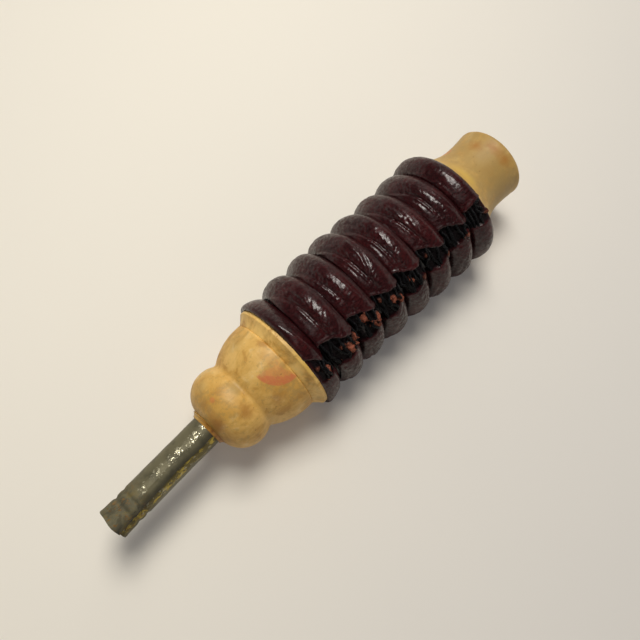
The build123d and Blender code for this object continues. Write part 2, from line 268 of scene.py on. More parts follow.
class Finish(NodeSheet):
    """One material: its principled shader and the nodes that feed it."""

    def __init__(self, name, **constants):
        self.material = bpy.data.materials.new(name)
        super().__init__(self.material)
        self.shader = self.tree.nodes["Principled BSDF"]
        for socket, value in constants.items():
            self.shader.inputs[socket.replace("_", " ")].default_value = value
        self.place = self.node("ShaderNodeTexCoord", output="Object")

    def axis(self, letter):
        """How far along one axis of the frame, in metres."""
        return self.node("ShaderNodeSeparateXYZ", {}, {0: self.place}, letter)

    def stretched(self, scale, turn=(0, 0, 0)):
        """Object coordinates, scaled per axis."""
        return self.node(
            "ShaderNodeMapping", {}, {"Vector": self.place, "Scale": scale, "Rotation": turn}
        )

    def mottle(self, scale, detail=4.0, roughness=0.55, distortion=0.0, where=None):
        """Noise from 0 to 1; scale counts its lumps to the metre."""
        return self.node(
            "ShaderNodeTexNoise",
            {},
            {
                "Vector": where or self.place,
                "Scale": scale,
                "Detail": detail,
                "Roughness": roughness,
                "Distortion": distortion,
            },
        )

    def cells(self, scale, where=None):
        """Distance to the nearest cell centre."""
        return self.node(
            "ShaderNodeTexVoronoi", {}, {"Vector": where or self.place, "Scale": scale}, output="Distance"
        )

    def painted(self, name):
        """A value painted on the piece's own points."""
        return self.node("ShaderNodeAttribute", {"attribute_name": name}, output="Fac")

    def spot(self, centre, reach, ragged, core):
        """1 inside a core, 0 outside the reach, with a ragged rim; station, y and z in millimetres."""
        rough = self.mottle(420, 3) * ragged
        offset = self.vector("SUBTRACT", self.place, at_station(centre))
        far = self.vector("LENGTH", self.vector("DIVIDE", offset, [r * MM for r in reach]))
        return self.span(far + rough, 1.0 + ragged / 2, core + ragged / 2)

    def spotted(self, colour, marks, stain, ragged, core):
        """A colour with a stain on each of the marks."""
        for centre, reach, share in marks:
            colour = self.mix(colour, stain, self.spot(centre, reach, ragged, core) * share)
        return colour

    def feed(self, socket, value):
        self.tree.links.new(value.socket, self.shader.inputs[socket])

    def relief(self, height, distance, strength=1.0, under=None):
        """Bump from a height of 0 to 1 over a distance in metres."""
        inputs = {"Height": height, "Distance": distance, "Strength": strength}
        if under:
            inputs["Normal"] = under
        return self.node("ShaderNodeBump", {}, inputs)

    def dress(self, piece):
        """Put this finish on a piece in place of what it has."""
        piece.data.materials.clear()
        piece.data.materials.append(self.material)


def clear_selection():
    """Back to object mode with nothing selected."""
    if bpy.context.mode != "OBJECT":
        bpy.ops.object.mode_set(mode="OBJECT")
    bpy.ops.object.select_all(action="DESELECT")


def named(name):
    """Name the object that was just added."""
    piece = bpy.context.object
    piece.name = name
    piece.data.name = name
    return piece


def apply_modifier(piece, kind, **settings):
    """Finish a piece with a modifier and apply it."""
    clear_selection()
    piece.select_set(True)
    bpy.context.view_layer.objects.active = piece
    modifier = piece.modifiers.new(kind.title(), kind)
    for key, value in settings.items():
        setattr(modifier, key, value)
    bpy.ops.object.modifier_apply(modifier=modifier.name)


def smooth_faces(piece, angle=math.radians(40)):
    clear_selection()
    piece.select_set(True)
    bpy.context.view_layer.objects.active = piece
    bpy.ops.object.shade_smooth_by_angle(angle=angle)


def face_outwards(merge=None):
    """From edit mode: merge points closer than this, turn the faces outwards, back to object mode."""
    bpy.ops.mesh.select_all(action="SELECT")
    if merge:
        bpy.ops.mesh.remove_doubles(threshold=merge)
    bpy.ops.mesh.normals_make_consistent(inside=False)
    bpy.ops.object.mode_set(mode="OBJECT")


def points_of(mesh):
    """The mesh's points as rows of x, y, z."""
    flat = np.empty(len(mesh.vertices) * 3)
    mesh.vertices.foreach_get("co", flat)
    return flat.reshape(-1, 3)


def move_points(mesh, points):
    mesh.vertices.foreach_set("co", points.astype(np.float32).ravel())
    mesh.update()


def paint(mesh, name, values):
    """Keep a value per point for the finish to read."""
    layer = mesh.attributes.new(name, "FLOAT", "POINT")
    layer.data.foreach_set("value", values.astype(np.float32))


def ease(value, low, high):
    """Smooth 0 to 1 as value goes from low to high."""
    share = np.clip((value - low) / (high - low), 0, 1)
    return share * share * (3 - 2 * share)


def hump(value, width):
    """Bell curve, 1 at zero."""
    return np.exp(-((value / width) ** 2))


def curve_through(points, shares):
    """Points on a smooth curve through the given ones, at shares from 0 to 1."""
    knots = np.asarray(points, float)
    padded = np.vstack([2 * knots[0] - knots[1], knots, 2 * knots[-1] - knots[-2]])
    at = np.clip(shares, 0, 1) * (len(knots) - 1)
    index = np.minimum(at.astype(int), len(knots) - 2)
    t = (at - index)[:, None]
    p0, p1, p2, p3 = (padded[index + k] for k in range(4))
    return 0.5 * (
        2 * p1
        + (p2 - p0) * t
        + (2 * p0 - 5 * p1 + 4 * p2 - p3) * t**2
        + (3 * p1 - p0 - 3 * p2 + p3) * t**3
    )


def on_axis(station, radius, angle):
    """Frame points from millimetres along and about the long axis, angle from up towards -Y."""
    return np.stack(
        [
            FLANGE_X + station * MM,
            -radius * MM * np.sin(angle),
            AXIS_HEIGHT + radius * MM * np.cos(angle),
        ],
        axis=-1,
    )


# Sections of the sleeve's ends, (station, radius) in millimetres, each from its free edge or crease
FRONT_HEM_SECTION = (
    (0.22, 16.3), (0.03, 16.8), (0.1, 17.3), (0.45, 17.68), (1.15, 17.84), (2.2, 17.66),
    (3.4, 17.25), (4.6, 16.7), (5.6, 15.95), (6.15, 15.1), (5.8, 14.65), (5.3, 14.5),
    (5.3, 13.95), (5.7, 13.6), (6.3, 13.55),
)
REAR_HEM_SECTION = (
    (60.3, 13.55), (60.9, 13.6), (61.28, 13.95), (61.28, 14.5), (60.8, 14.65), (60.4, 15.0),
    (60.5, 15.7), (61.3, 16.55), (62.4, 17.2), (63.6, 17.7), (64.8, 17.85), (65.8, 17.7),
    (66.7, 17.25), (67.25, 16.65), (67.45, 16.0), (67.4, 15.55), (67.1, 15.25),
)
# One pleat: (station from its front crease, drop below its crown), on the flanks and pressed shut on top
OPEN_PLEAT = (
    (0.00, 4.40), (-0.02, 3.70), (0.12, 3.00), (0.45, 2.30), (1.00, 1.62), (1.80, 0.95),
    (2.80, 0.38), (3.80, 0.08), (4.70, 0.00), (5.70, 0.10), (6.70, 0.38), (7.60, 0.85),
    (8.35, 1.50), (8.85, 2.25), (9.05, 3.00), (9.04, 3.70), (9.00, 4.40),
)
SHUT_PLEAT = (
    (0.00, 4.40), (0.01, 3.40), (0.01, 2.50), (0.06, 2.20), (0.42, 1.92), (1.20, 1.56),
    (2.10, 1.20), (2.90, 0.98), (3.60, 0.58), (4.50, 0.10), (5.50, 0.00), (6.50, 0.08),
    (7.35, 0.42), (8.15, 0.95), (8.80, 1.55), (8.99, 2.30), (9.00, 4.40),
)
PLEAT_SPAN, PLEAT_DROP = 9.0, 4.4
FRONT_HEM, REAR_HEM, LINING = -1, 6, 7
# The lining inside the rear hem and the front hem, from the knob to the head
REAR_LINING = (
    (66.9, 15.22), (66.3, 15.8), (65.4, 16.3), (64.4, 16.45), (63.0, 15.9), (62.0, 13.4), (60.3, 12.4),
)
FRONT_LINING = ((6.3, 12.4), (4.6, 12.6), (4.2, 15.0), (2.8, 16.2), (1.2, 16.38))
LINING_RADIUS, LINING_RISE, LINING_STEPS = 12.4, 3.6, 4
# Lean of the first pleat over the hem, least radius over the drum, radius at the ties, wander of a crease
FIRST_LEAN = 1.0
DRUM_COVER = 16.62
TIED_RADIUS = 13.55
SWAY = 0.26
# Where the sleeve lies on the floor
BOTTOM_FLAT = 0.35 * MM
CREASE_SEED, PLEAT_SEED, STITCH_SEED = 40, 70, 5

# How much fuller than the mean each pleat is, and how far it stands off towards +Y
PLEAT_FULLNESS = (0.0, -0.05, 0.1, -0.1, 0.0, 0.05)
PLEAT_SHIFT = (0.25, 0.4, 0.35, 0.05, -0.35, -0.5)

# Folds seen on the pleats: pleat, angles from up towards -Y, shares of the section, depth, width
FOLDS = (
    (0, -50, 28, 0.24, 0.42, 0.40, 0.022),
    (1, -46, 14, 0.24, 0.41, 0.26, 0.024),
    (2, -52, 26, 0.22, 0.44, 0.46, 0.022),
    (3, -44, 24, 0.24, 0.43, 0.38, 0.023),
    (4, -46, 28, 0.22, 0.44, 0.44, 0.022),
    (5, -40, 22, 0.25, 0.44, 0.36, 0.023),
    (0, -36, 22, 0.30, 0.35, 0.22, 0.016),
    (2, -18, 22, 0.33, 0.36, 0.24, 0.015),
    (3, -12, 30, 0.34, 0.32, 0.18, 0.016),
    (4, -24, 12, 0.34, 0.37, 0.20, 0.015),
    (5, -20, 16, 0.33, 0.36, 0.22, 0.016),
    (2, 16, -26, 0.50, 0.69, 0.34, 0.024),
    (0, -34, -4, 0.56, 0.50, 0.16, 0.026),
    (1, 26, -18, 0.74, 0.70, 0.16, 0.020),
    (3, 30, -8, 0.52, 0.50, 0.14, 0.022),
    (4, 8, -30, 0.52, 0.60, 0.22, 0.024),
    (5, 30, -20, 0.70, 0.66, 0.16, 0.024),
    (REAR_HEM, -34, 24, 0.44, 0.47, 0.30, 0.022),
    (REAR_HEM, -10, 20, 0.53, 0.55, 0.14, 0.020),
    (0, -95, -170, 0.26, 0.38, 0.30, 0.032),
    (1, -70, -150, 0.30, 0.24, 0.32, 0.032),
    (2, -100, -178, 0.66, 0.58, 0.26, 0.032),
    (3, -105, -175, 0.27, 0.33, 0.32, 0.032),
    (4, -80, -160, 0.34, 0.26, 0.30, 0.032),
    (5, -110, -176, 0.27, 0.35, 0.28, 0.032),
    (0, 78, 170, 0.35, 0.31, 0.28, 0.032),
    (1, 74, 150, 0.31, 0.41, 0.32, 0.032),
    (2, 76, 165, 0.40, 0.32, 0.30, 0.032),
    (3, 72, 140, 0.64, 0.72, 0.22, 0.030),
    (4, 74, 172, 0.31, 0.35, 0.32, 0.032),
    (5, 76, 150, 0.37, 0.32, 0.28, 0.032),
)
# Stitches over the front hem, over each pleat and over the rear hem, as shares of the section
FRONT_STITCHES = (0.38, 0.46, 0.56, 0.66)
STITCH_SHARES = (0.27, 0.40, 0.545, 0.675, 0.88)
REAR_STITCHES = (0.30, 0.37, 0.44, 0.51, 0.58)
# Height of the thread over the leather from hole to hole, across the seam and on to the next stitch
ACROSS_LIFTS = (-0.5, 0.25, 0.4, 0.35, 0.4, 0.3, -0.5)
ONWARD_LIFTS = (-0.5, 0.3, 0.35, 0.3, 0.35, 0.2, -0.5)
STITCH_POINTS = 30
NEEDLE_TRIES = 3
HOLE_SLANT = 0.045
HOLE_JOG = 0.02
TAIL_STEP = 0.045
SEAM_HALF_WIDTH, SEAM_NARROWING = 3.4, 0.3
PLEAT_ROWS = 44
HEM_ROWS = 30
LINING_ROWS = 34
COLUMNS = 256
ROW_SPREAD = 0.35
COLUMN_SPREAD = 0.5
DENSE_ANGLE = math.radians(30)
FULL_SECTION = 15.0


def window(angle, rise, fall):
    """1 between two slopes round the axis, each given by its foot and its top in degrees."""
    rise, fall = (tuple(math.radians(edge) for edge in slope) for slope in (rise, fall))
    return ease(angle, *rise) * ease(angle, *fall)


def on_top(angle):
    """1 on top of the sleeve, where the pleats are pressed shut."""
    return window(angle, (-70, -18), (66, 46))


def sway(valley, angle):
    """How far a crease wanders along the axis, millimetres."""
    draw = np.random.RandomState(CREASE_SEED + valley)
    first, second, third = draw.uniform(0, TURN, 3)
    size = 0.0 if valley in (0, REAR_HEM) else SWAY
    return size * (np.sin(angle + first) + 0.7 * np.sin(2 * angle + second) + 0.5 * np.sin(3 * angle + third))


def pleat_section(sizes, pleat, share, angle):
    """Station and radius on one pleat, from its front crease at share 0 to the next at 1."""
    draw = np.random.RandomState(PLEAT_SEED + pleat)
    phases = draw.uniform(0, TURN, 4)
    pitch = (LAST_VALLEY - FIRST_VALLEY) / MM / sizes.pleats
    start = FIRST_VALLEY / MM + pleat * pitch + sway(pleat, angle)
    end = FIRST_VALLEY / MM + (pleat + 1) * pitch + sway(pleat + 1, angle)
    crest = sizes.crest_radius / MM + PLEAT_FULLNESS[pleat] - PLEAT_SHIFT[pleat] * np.sin(angle)
    crest = crest + 0.10 * np.sin(2 * angle + phases[0]) + 0.07 * np.sin(5 * angle + phases[1])
    shut = on_top(angle)
    profile = curve_through(OPEN_PLEAT, share) * (1 - shut)[:, None]
    profile += curve_through(SHUT_PLEAT, share) * shut[:, None]
    run, sunk = profile[:, 0] / PLEAT_SPAN, profile[:, 1] / PLEAT_DROP
    gathered = window(angle, (40, 56), (125, 75))
    run = 0.5 + (run - 0.5) * (1 - 0.17 * gathered * np.sqrt(np.clip(1 - sunk, 0, 1)))
    front = share < 0.5
    tied = ((pleat == 0) & front) | ((pleat == sizes.pleats - 1) & ~front)
    crease = np.where(tied, TIED_RADIUS, sizes.crest_radius / MM - sizes.depth / MM)
    radius = crest - (crest - crease) * sunk
    leaning = sizes.lean / MM * (1 - sunk) ** 2 * np.sin(3 * angle + phases[2])
    if pleat == 0:
        run = run - FIRST_LEAN / pitch * shut * ease(share, 0.48, 0.14) * ease(sunk, 0.82, 0.64)
    pocket = np.where(tied, 0.95 * ease(sunk, 0.64, 0.74) * ease(sunk, 1.0, 0.93), 0)
    return start + (end - start) * run + leaning + np.where(front, pocket, -pocket), radius


def sleeve_section(sizes, part, share, angle):
    """Station and radius of every point of the sleeve, millimetres."""
    station, radius = np.zeros_like(share), np.zeros_like(share)
    for hem, section in ((FRONT_HEM, FRONT_HEM_SECTION), (REAR_HEM, REAR_HEM_SECTION)):
        here = part == hem
        found = curve_through(section, share[here])
        station[here], radius[here] = found[:, 0], found[:, 1]
    here = part == FRONT_HEM
    degrees = np.degrees(angle[here])
    ridge = 0.9 + 3.5 * np.clip((degrees + 12) / 46, 0, 1)
    swept = ease(degrees, -26, -4) * ease(degrees, 110, 60)
    leaning = on_top(angle[here]) * ease(station[here], 2.0, 5.4) * ease(radius[here], 14.4, 15.2)
    station[here] -= FIRST_LEAN * leaning
    outside = ease(radius[here], 16.0, 16.7)
    fallen = 0.20 * np.clip(ridge - station[here], 0, 4) - 0.40 * hump(station[here] - ridge, 1.1)
    radius[here] -= swept * outside * fallen
    here = part == REAR_HEM
    radius[here] += 0.9 * np.clip(np.sin(angle[here]), 0, 1) ** 2 * ease(radius[here], 14.8, 16.0)
    for pleat in range(sizes.pleats):
        here = part == pleat
        station[here], radius[here] = pleat_section(sizes, pleat, share[here], angle[here])
    here = part == LINING
    waves = []
    for step in range(LINING_STEPS * sizes.pleats - 1, 0, -1):
        rise = math.sin(math.pi * (step % LINING_STEPS) / LINING_STEPS)
        waves.append(
            (FIRST_VALLEY / MM + PLEAT_SPAN * (step / LINING_STEPS), LINING_RADIUS + LINING_RISE * rise)
        )
    found = curve_through((*REAR_LINING, *waves, *FRONT_LINING), share[here])
    station[here], radius[here] = found[:, 0], found[:, 1]
    return station, radius


def seam_offset(sizes, station, angle):
    """Distance from the middle of the seam, and the seam's half width there, millimetres."""
    along = np.clip(station / (REAR_EDGE / MM), 0, 1)
    middle = sizes.seam_angle + math.radians(0.5) - math.radians(2) * along
    middle = middle + math.radians(1.2) * np.sin(station * 0.55)
    away = (angle - middle + math.pi) % TURN - math.pi
    half = SEAM_HALF_WIDTH - SEAM_NARROWING * ease(along, 0.35, 0.85)
    return away * sizes.crest_radius / MM, half


def speckle(points, along, around, seed):
    """Noise of -1 to 1 at points in millimetres, stretched along and around the axis."""
    return np.array([noise.noise(Vector((x * along + seed, y * around, z * around))) for x, y, z in points])


def sleeve_detail(sizes, part, share, angle, station, points):
    """Height of folds, wrinkles and seam over the plain section, with the values to paint."""
    height = np.zeros_like(share)
    pleated = (part >= 0) & (part < sizes.pleats)
    crown = np.where(pleated, (1 - np.cos(TURN * share)) / 2, 0)
    hems = (part == FRONT_HEM) | (part == REAR_HEM)
    crown[hems] = ease(np.sin(math.pi * np.clip(share[hems], 0, 1)), 0.1, 0.9)
    degrees = np.degrees(angle)
    drift = speckle(points, 0.25, 0.12, 3.0)
    for pleat, start, end, first, last, depth, width in FOLDS:
        here = part == pleat
        along = np.clip((degrees[here] - start) / (end - start), 0, 1)
        swung = np.sin(math.pi / 2 * np.minimum(1.5 * along, 1))
        across = share[here] - (first + (last - first) * swung + 0.03 * drift[here])
        ridge = 0.55 * hump(across + 0.055, width) - hump(across - 0.01, width)
        height[here] += depth * np.sqrt(np.sin(math.pi * along)) * ridge
    ring = angle * sizes.crest_radius / MM
    slant = np.stack([0.8 * ring - 0.6 * station, 0.6 * ring + 0.8 * station, points[:, 0] * 0], axis=1)
    fine = speckle(slant * (0.42, 1.05, 1), 1, 1, 11.0)
    coarse = speckle(points, 0.30, 0.42, 23.0)
    wear = speckle(points, 0.20, 0.10, 31.0)
    creases = np.clip(1 - np.abs(fine) / 0.25, 0, 1) * ease(np.abs(angle), math.pi, 2.7)
    ruts = np.clip(1 - np.abs(coarse) / 0.16, 0, 1)
    creasing = np.where(pleated, 1.0, np.where(part == REAR_HEM, 0.7, 0.25))
    wrinkled = crown**2 * creasing * (0.75 + 0.35 * wear)
    height -= sizes.wrinkle / MM * wrinkled * (creases + 0.6 * ruts)
    height += 0.16 * crown * wear * pleated
    upper = ease(degrees, -30, -8) * ease(degrees, 48, 38)
    height += 0.24 * hump(share - 0.855 - 0.01 * drift, 0.013) * pleated * upper * (0.8 + 0.8 * wear)
    away, half = seam_offset(sizes, station, angle)
    outer = part != LINING
    ragged = speckle(points, 1.1, 1.1, 57.0)
    frayed = speckle(points, 1.5, 1.5, 63.0)
    flap, lobe = seam_edges(part, share, half)
    flap, lobe = flap + 0.25 * ragged, lobe + 0.2 * ragged
    band = ease(away - flap, -0.3, 0.3) * ease(lobe - away, -0.6, 0.25)
    band = band * np.where(part == FRONT_HEM, ease(share, 0.14, 0.30), 1)
    band = band * np.where(part == REAR_HEM, ease(share, 0.86, 0.70), 1)
    lips = hump(away - flap + 0.65, 0.5) + 0.1 * hump(away - lobe - 0.7, 0.6)
    height += outer * (0.22 * lips + band * (0.22 * ragged - sizes.seam_recess / MM))
    raw = np.zeros_like(share)
    for place, middle, below, length, width, pale in RAW_TUFTS:
        here = part == place
        along, across = (share[here] - middle) * FULL_SECTION, away[here] - below
        far = ((along + 0.5 * across) / (1.6 * length)) ** 2 + ((across - 0.4 * along) / (1.5 * width)) ** 2
        dome = np.sqrt(np.clip(1 - far * (1 + 1.1 * frayed[here]), 0, 1))
        height[here] += (sizes.seam_recess / MM * band[here] + 0.5) * dome
        raw[here] = np.maximum(raw[here], dome * pale)
    pulled = hump(away, half + 1.8) * (1 - band) * np.clip(np.sin(2.2 * station + 0.8 * away), 0, 1)
    height -= outer * 0.10 * pulled
    return height, crown, band * outer, raw


# Edges of the seam's recess over one pleat: share of its section, millimetres below the plain edge
FLAP_EDGE = (
    (0.0, -1.2), (0.15, -1.9), (0.27, -2.2), (0.45, -1.0), (0.62, 0.3), (0.76, 1.0), (0.86, 0.3), (1.0, -1.2),
)
LOBE_EDGE = ((0.0, 1.0), (0.2, 1.5), (0.45, 0.6), (0.7, -1.3), (0.8, -1.6), (1.0, 1.0))
HEM_FLAP_EDGE = ((0.0, -2.6), (0.2, -2.5), (0.35, -1.2), (0.5, 0.9), (0.58, 0.5), (0.7, -1.2), (1.0, -1.2))


def seam_edges(part, share, half):
    """Where the flap above the seam and the lobe below it end, millimetres from the seam's middle."""
    pleated = (part >= 0) & (part < REAR_HEM)
    flap = np.where(pleated, np.interp(share, *zip(*FLAP_EDGE)), -1.2)
    flap = np.where(part == FRONT_HEM, np.interp(share, *zip(*HEM_FLAP_EDGE)), flap)
    lobe = np.where(pleated, np.interp(share, *zip(*LOBE_EDGE)), -0.6)
    lobe = lobe - np.where(pleated, np.interp(part, (1, 5), (0.2, 1.9)), 0)
    lobe = np.where(part == REAR_HEM, np.interp(share, (0.3, 0.75), (-2.4, -0.4)), lobe)
    return flap - half, lobe + half


# Raw edge between the stitches: part, share, place across the seam, half sizes, paleness
RAW_TUFTS = (
    (FRONT_HEM, 0.30, -2.0, 0.6, 0.9, 0.45),
    (FRONT_HEM, 0.49, 0.6, 1.0, 1.2, 0.95),
    (0, 0.485, -0.9, 0.5, 0.9, 0.45),
    (0, 0.61, 0.9, 1.0, 1.5, 1.0),
    (0, 0.81, -0.9, 0.8, 1.4, 0.7),
    (1, 0.49, -2.3, 0.9, 1.3, 0.9),
    (1, 0.60, 0.9, 0.8, 0.8, 0.55),
    (1, 0.735, 0.0, 0.8, 1.3, 1.0),
    (2, 0.35, -3.2, 0.5, 0.9, 0.5),
    (2, 0.585, -0.6, 0.8, 1.1, 0.9),
    (2, 0.73, 1.5, 0.9, 0.9, 1.0),
    (3, 0.485, -0.9, 0.9, 0.5, 0.75),
    (3, 0.72, 1.4, 0.8, 0.8, 0.45),
    (4, 0.35, -2.6, 0.7, 0.9, 0.42),
    (4, 0.75, 0.9, 0.8, 0.8, 0.5),
    (5, 0.665, 0.9, 0.8, 0.7, 0.6),
    (REAR_HEM, 0.72, 0.1, 1.3, 0.4, 0.6),
)


def make_sleeve(sizes):
    """Lay the sleeve ring by ring along its closed section, then fold, wrinkle and seam it."""
    steps = np.arange(PLEAT_ROWS) / PLEAT_ROWS
    spread = steps + ROW_SPREAD * np.sin(TURN * steps) / TURN
    rows = [(FRONT_HEM, share) for share in np.arange(HEM_ROWS) / HEM_ROWS]
    for pleat in range(sizes.pleats):
        rows += [(pleat, share) for share in spread]
    rows += [(REAR_HEM, share) for share in np.linspace(0, 1, HEM_ROWS)]
    rows += [(LINING, share) for share in np.linspace(0, 1, LINING_ROWS)]
    row_part = np.array([part for part, share in rows])
    row_share = np.array([share for part, share in rows])
    row, column = np.divmod(np.arange(len(rows) * COLUMNS), COLUMNS)
    turned = (column + 1) * TURN / COLUMNS - math.pi
    angle = turned - COLUMN_SPREAD * np.sin(turned - DENSE_ANGLE)
    part, share = row_part[row], row_share[row]
    station, radius = sleeve_section(sizes, part, share, angle)
    clear_selection()
    bpy.ops.mesh.primitive_circle_add(radius=sizes.crest_radius)
    sleeve = named("bellows_sleeve")
    mesh = sleeve.data
    skin = bmesh.new()
    corners = [skin.verts.new(point) for point in on_axis(station, radius, angle)]
    following = (row + 1) % len(rows) * COLUMNS
    beside = (column + 1) % COLUMNS
    rings = row * COLUMNS
    for quad in zip(rings + column, rings + beside, following + beside, following + column):
        skin.faces.new([corners[index] for index in quad])
    skin.to_mesh(mesh)
    skin.free()
    mesh.update()
    normals = np.empty(len(mesh.vertices) * 3)
    mesh.vertex_normals.foreach_get("vector", normals)
    base = points_of(mesh)
    local = (base - np.array([FLANGE_X, 0, AXIS_HEIGHT])) / MM
    height, crown, band, raw = sleeve_detail(sizes, part, share, angle, station, local)
    shaped = base + normals.reshape(-1, 3) * (height * MM)[:, None]
    spoke = np.hypot(shaped[:, 1], shaped[:, 2] - AXIS_HEIGHT)
    sunken = (part == FRONT_HEM) & (share > 0.1) & (share < 0.42) & (spoke < DRUM_COVER * MM)
    lift = np.where(sunken, DRUM_COVER * MM / spoke, 1)
    shaped[:, 1] *= lift
    shaped[:, 2] = AXIS_HEIGHT + (shaped[:, 2] - AXIS_HEIGHT) * lift
    low = shaped[:, 2] < BOTTOM_FLAT
    shaped[low, 2] = BOTTOM_FLAT * np.exp((shaped[low, 2] - BOTTOM_FLAT) / BOTTOM_FLAT * 0.9)
    move_points(mesh, shaped)
    for name, values in (("crown", crown), ("band", band), ("raw", raw)):
        paint(mesh, name, values)
    smooth_faces(sleeve, math.radians(75))
    return sleeve


def leather_finish(sizes):
    """Dressed oxblood leather: waxed crowns, painted shade in the creases and the seam's recess, cut edges
    along the seam.
    """
    made = Finish("Oxblood leather", Specular_IOR_Level=0.03, Coat_Roughness=0.23)
    crown, band, raw = (made.painted(name) for name in ("crown", "band", "raw"))
    cloud = made.mottle(160, 5, 0.6)
    grain = made.mottle(1500, 3, 0.6)
    pores = made.cells(1500)
    crease_shade = shaded(sizes.leather, 0.32)
    ruddy = (sizes.leather[0] * 1.6, sizes.leather[1] * 1.3, sizes.leather[2] * 1.25)
    colour = made.mix(sizes.leather, ruddy, made.span(cloud, 0.42, 0.68))
    # painted shade: the leather goes darker from half way down each pleat into its crease
    colour = made.mix(crease_shade, colour, made.span(crown, 0.02, 0.5))
    scuffed = made.span(cloud * 0.6 + grain * 0.4, 0.56, 0.68) * crown * 0.15
    colour = made.mix(colour, (0.10, 0.055, 0.05), scuffed)
    # painted shade: the leather in the seam's recess, under the stitches, is painted near-black
    colour = made.mix(colour, (0.006, 0.005, 0.006), band * 0.92)
    fuzz = made.mottle(2300, 3, 0.7)
    pale = made.span(fuzz * 0.6 + raw * 0.4, 0.42, 0.68)
    suede = made.mix(shaded(sizes.raw_edge, 0.22), sizes.raw_edge, pale)
    colour = made.mix(colour, suede, made.span(raw, 0.2, 0.45))
    made.feed("Base Color", colour)
    made.feed("Roughness", 0.42 + 0.14 * cloud + 0.25 * band)
    handled = made.span(made.axis("Z"), 0.012, 0.026)
    waxed = (0.84 - 0.3 * cloud) * (0.55 + 0.75 * made.span(grain, 0.36, 0.64))
    sewn = 1 - 0.85 * made.span(band, 0.05, 0.4)
    made.feed("Coat Weight", waxed * (0.32 + 0.68 * handled) * sewn * (1 - 0.8 * raw))
    fine = made.relief(grain * 0.6 + pores * 0.5, 0.00017, 0.7)
    lines = made.mottle(1300, 2, 0.5, 0.5, made.stretched((0.38, 1.0, 1.0), (0, 0, 0.6)))
    creased = made.span(made.math("ABSOLUTE", lines - 0.5, 0.0), 0.0, 0.09)
    made.feed("Normal", made.relief(creased * (0.3 + crown), 0.00026, 1.0, fine))
    return made


# A thread's two plies, as shares of its radius, the length of a twist, and a direction no stitch runs in
PLY_RADIUS, PLY_OFFSET = 0.56, 0.5
STITCH_LAY, WHIPPING_LAY = 1.5 * MM, 2.2 * MM
TWIST_GUIDE = (0.31, 0.22, 0.92)
WHIPPING_THREAD = 0.75
WHIPPING_PITCH = 2.05
WHIPPING_STEPS = 60
WHIPPING_CLEARANCE = 0.02 * MM


def ply_pair(path, radius, lay):
    """Two plies twisted round a path of points, as two lists of points."""
    path = np.asarray(path)
    steps = np.linalg.norm(np.diff(path, axis=0), axis=1)
    run = np.concatenate([[0], np.cumsum(steps)])
    tangent = np.gradient(path, axis=0)
    tangent /= np.linalg.norm(tangent, axis=1)[:, None]
    side = np.cross(tangent, TWIST_GUIDE)
    side /= np.linalg.norm(side, axis=1)[:, None]
    over = np.cross(tangent, side)
    plies = []
    for phase in (0, math.pi):
        twist = (run / lay * TURN + phase)[:, None]
        plies.append(path + (side * np.cos(twist) + over * np.sin(twist)) * radius * PLY_OFFSET)
    return plies


def make_threads(name, paths, radius, lay, sides):
    """Twisted thread along each path, as one mesh."""
    clear_selection()
    bpy.ops.curve.primitive_nurbs_path_add()
    thread = named(name)
    data = thread.data
    data.splines.clear()
    data.dimensions = "3D"
    data.bevel_depth = radius * PLY_RADIUS
    data.bevel_resolution = sides
    data.use_fill_caps = True
    for path in paths:
        for ply in ply_pair(path, radius, lay):
            spline = data.splines.new("POLY")
            spline.points.add(len(ply) - 1)
            for point, place in zip(spline.points, ply):
                point.co = (*place, 1)
    bpy.ops.object.convert(target="MESH")
    thread = bpy.context.object
    thread.data.name = name
    bpy.ops.object.mode_set(mode="EDIT")
    face_outwards(merge=1e-7)
    smooth_faces(thread, math.radians(70))
    return thread


def thread_finish(sizes):
    """Black waxed linen thread with a dull sheen."""
    made = Finish("Waxed thread", Specular_IOR_Level=0.16)
    fibre = made.mottle(4200, 3, 0.6)
    wax = made.mottle(700, 3)
    grey = [c * 2.5 + 0.0015 for c in sizes.colour]
    made.feed("Base Color", made.mix(sizes.colour, grey, made.span(wax * 0.5 + fibre * 0.5, 0.5, 0.68)))
    made.feed("Roughness", 0.34 + 0.3 * fibre)
    made.feed("Normal", made.relief(fibre, 0.00005, 0.5))
    return made


def sleeve_spot(sizes, surface, part, share, angle, lift):
    """Point a little above or below the finished leather."""
    section = sleeve_section(sizes, np.array([part]), np.array([share]), np.array([angle]))
    guess = Vector(on_axis(section[0], section[1], np.array([angle]))[0])
    place, normal = surface.find_nearest(guess)[:2]
    return np.array(place + normal * lift * MM)


def stitch_rows(sizes):
    """The seam's stitches: (part, share), from the front hem to the rear hem."""
    rows = [(FRONT_HEM, share) for share in FRONT_STITCHES]
    for pleat in range(sizes.pleats):
        rows += [(pleat, share) for share in STITCH_SHARES]
    return rows + [(REAR_HEM, share) for share in REAR_STITCHES]


def needle_angle(sizes, part, share, lower, beyond):
    """Angle of the needle hole beside the seam, in the flap above it or in the lobe below."""
    angle = sizes.seam_angle
    part, share = np.array([part]), np.array([share])
    for _ in range(NEEDLE_TRIES):
        section = sleeve_section(sizes, part, share, np.array([angle]))
        away, half = seam_offset(sizes, section[0], np.array([angle]))
        flap, lobe = seam_edges(part, share, half)
        target = lobe[0] + beyond if lower else flap[0] - beyond
        angle = angle + (target - away[0]) * MM / sizes.crest_radius
    return angle


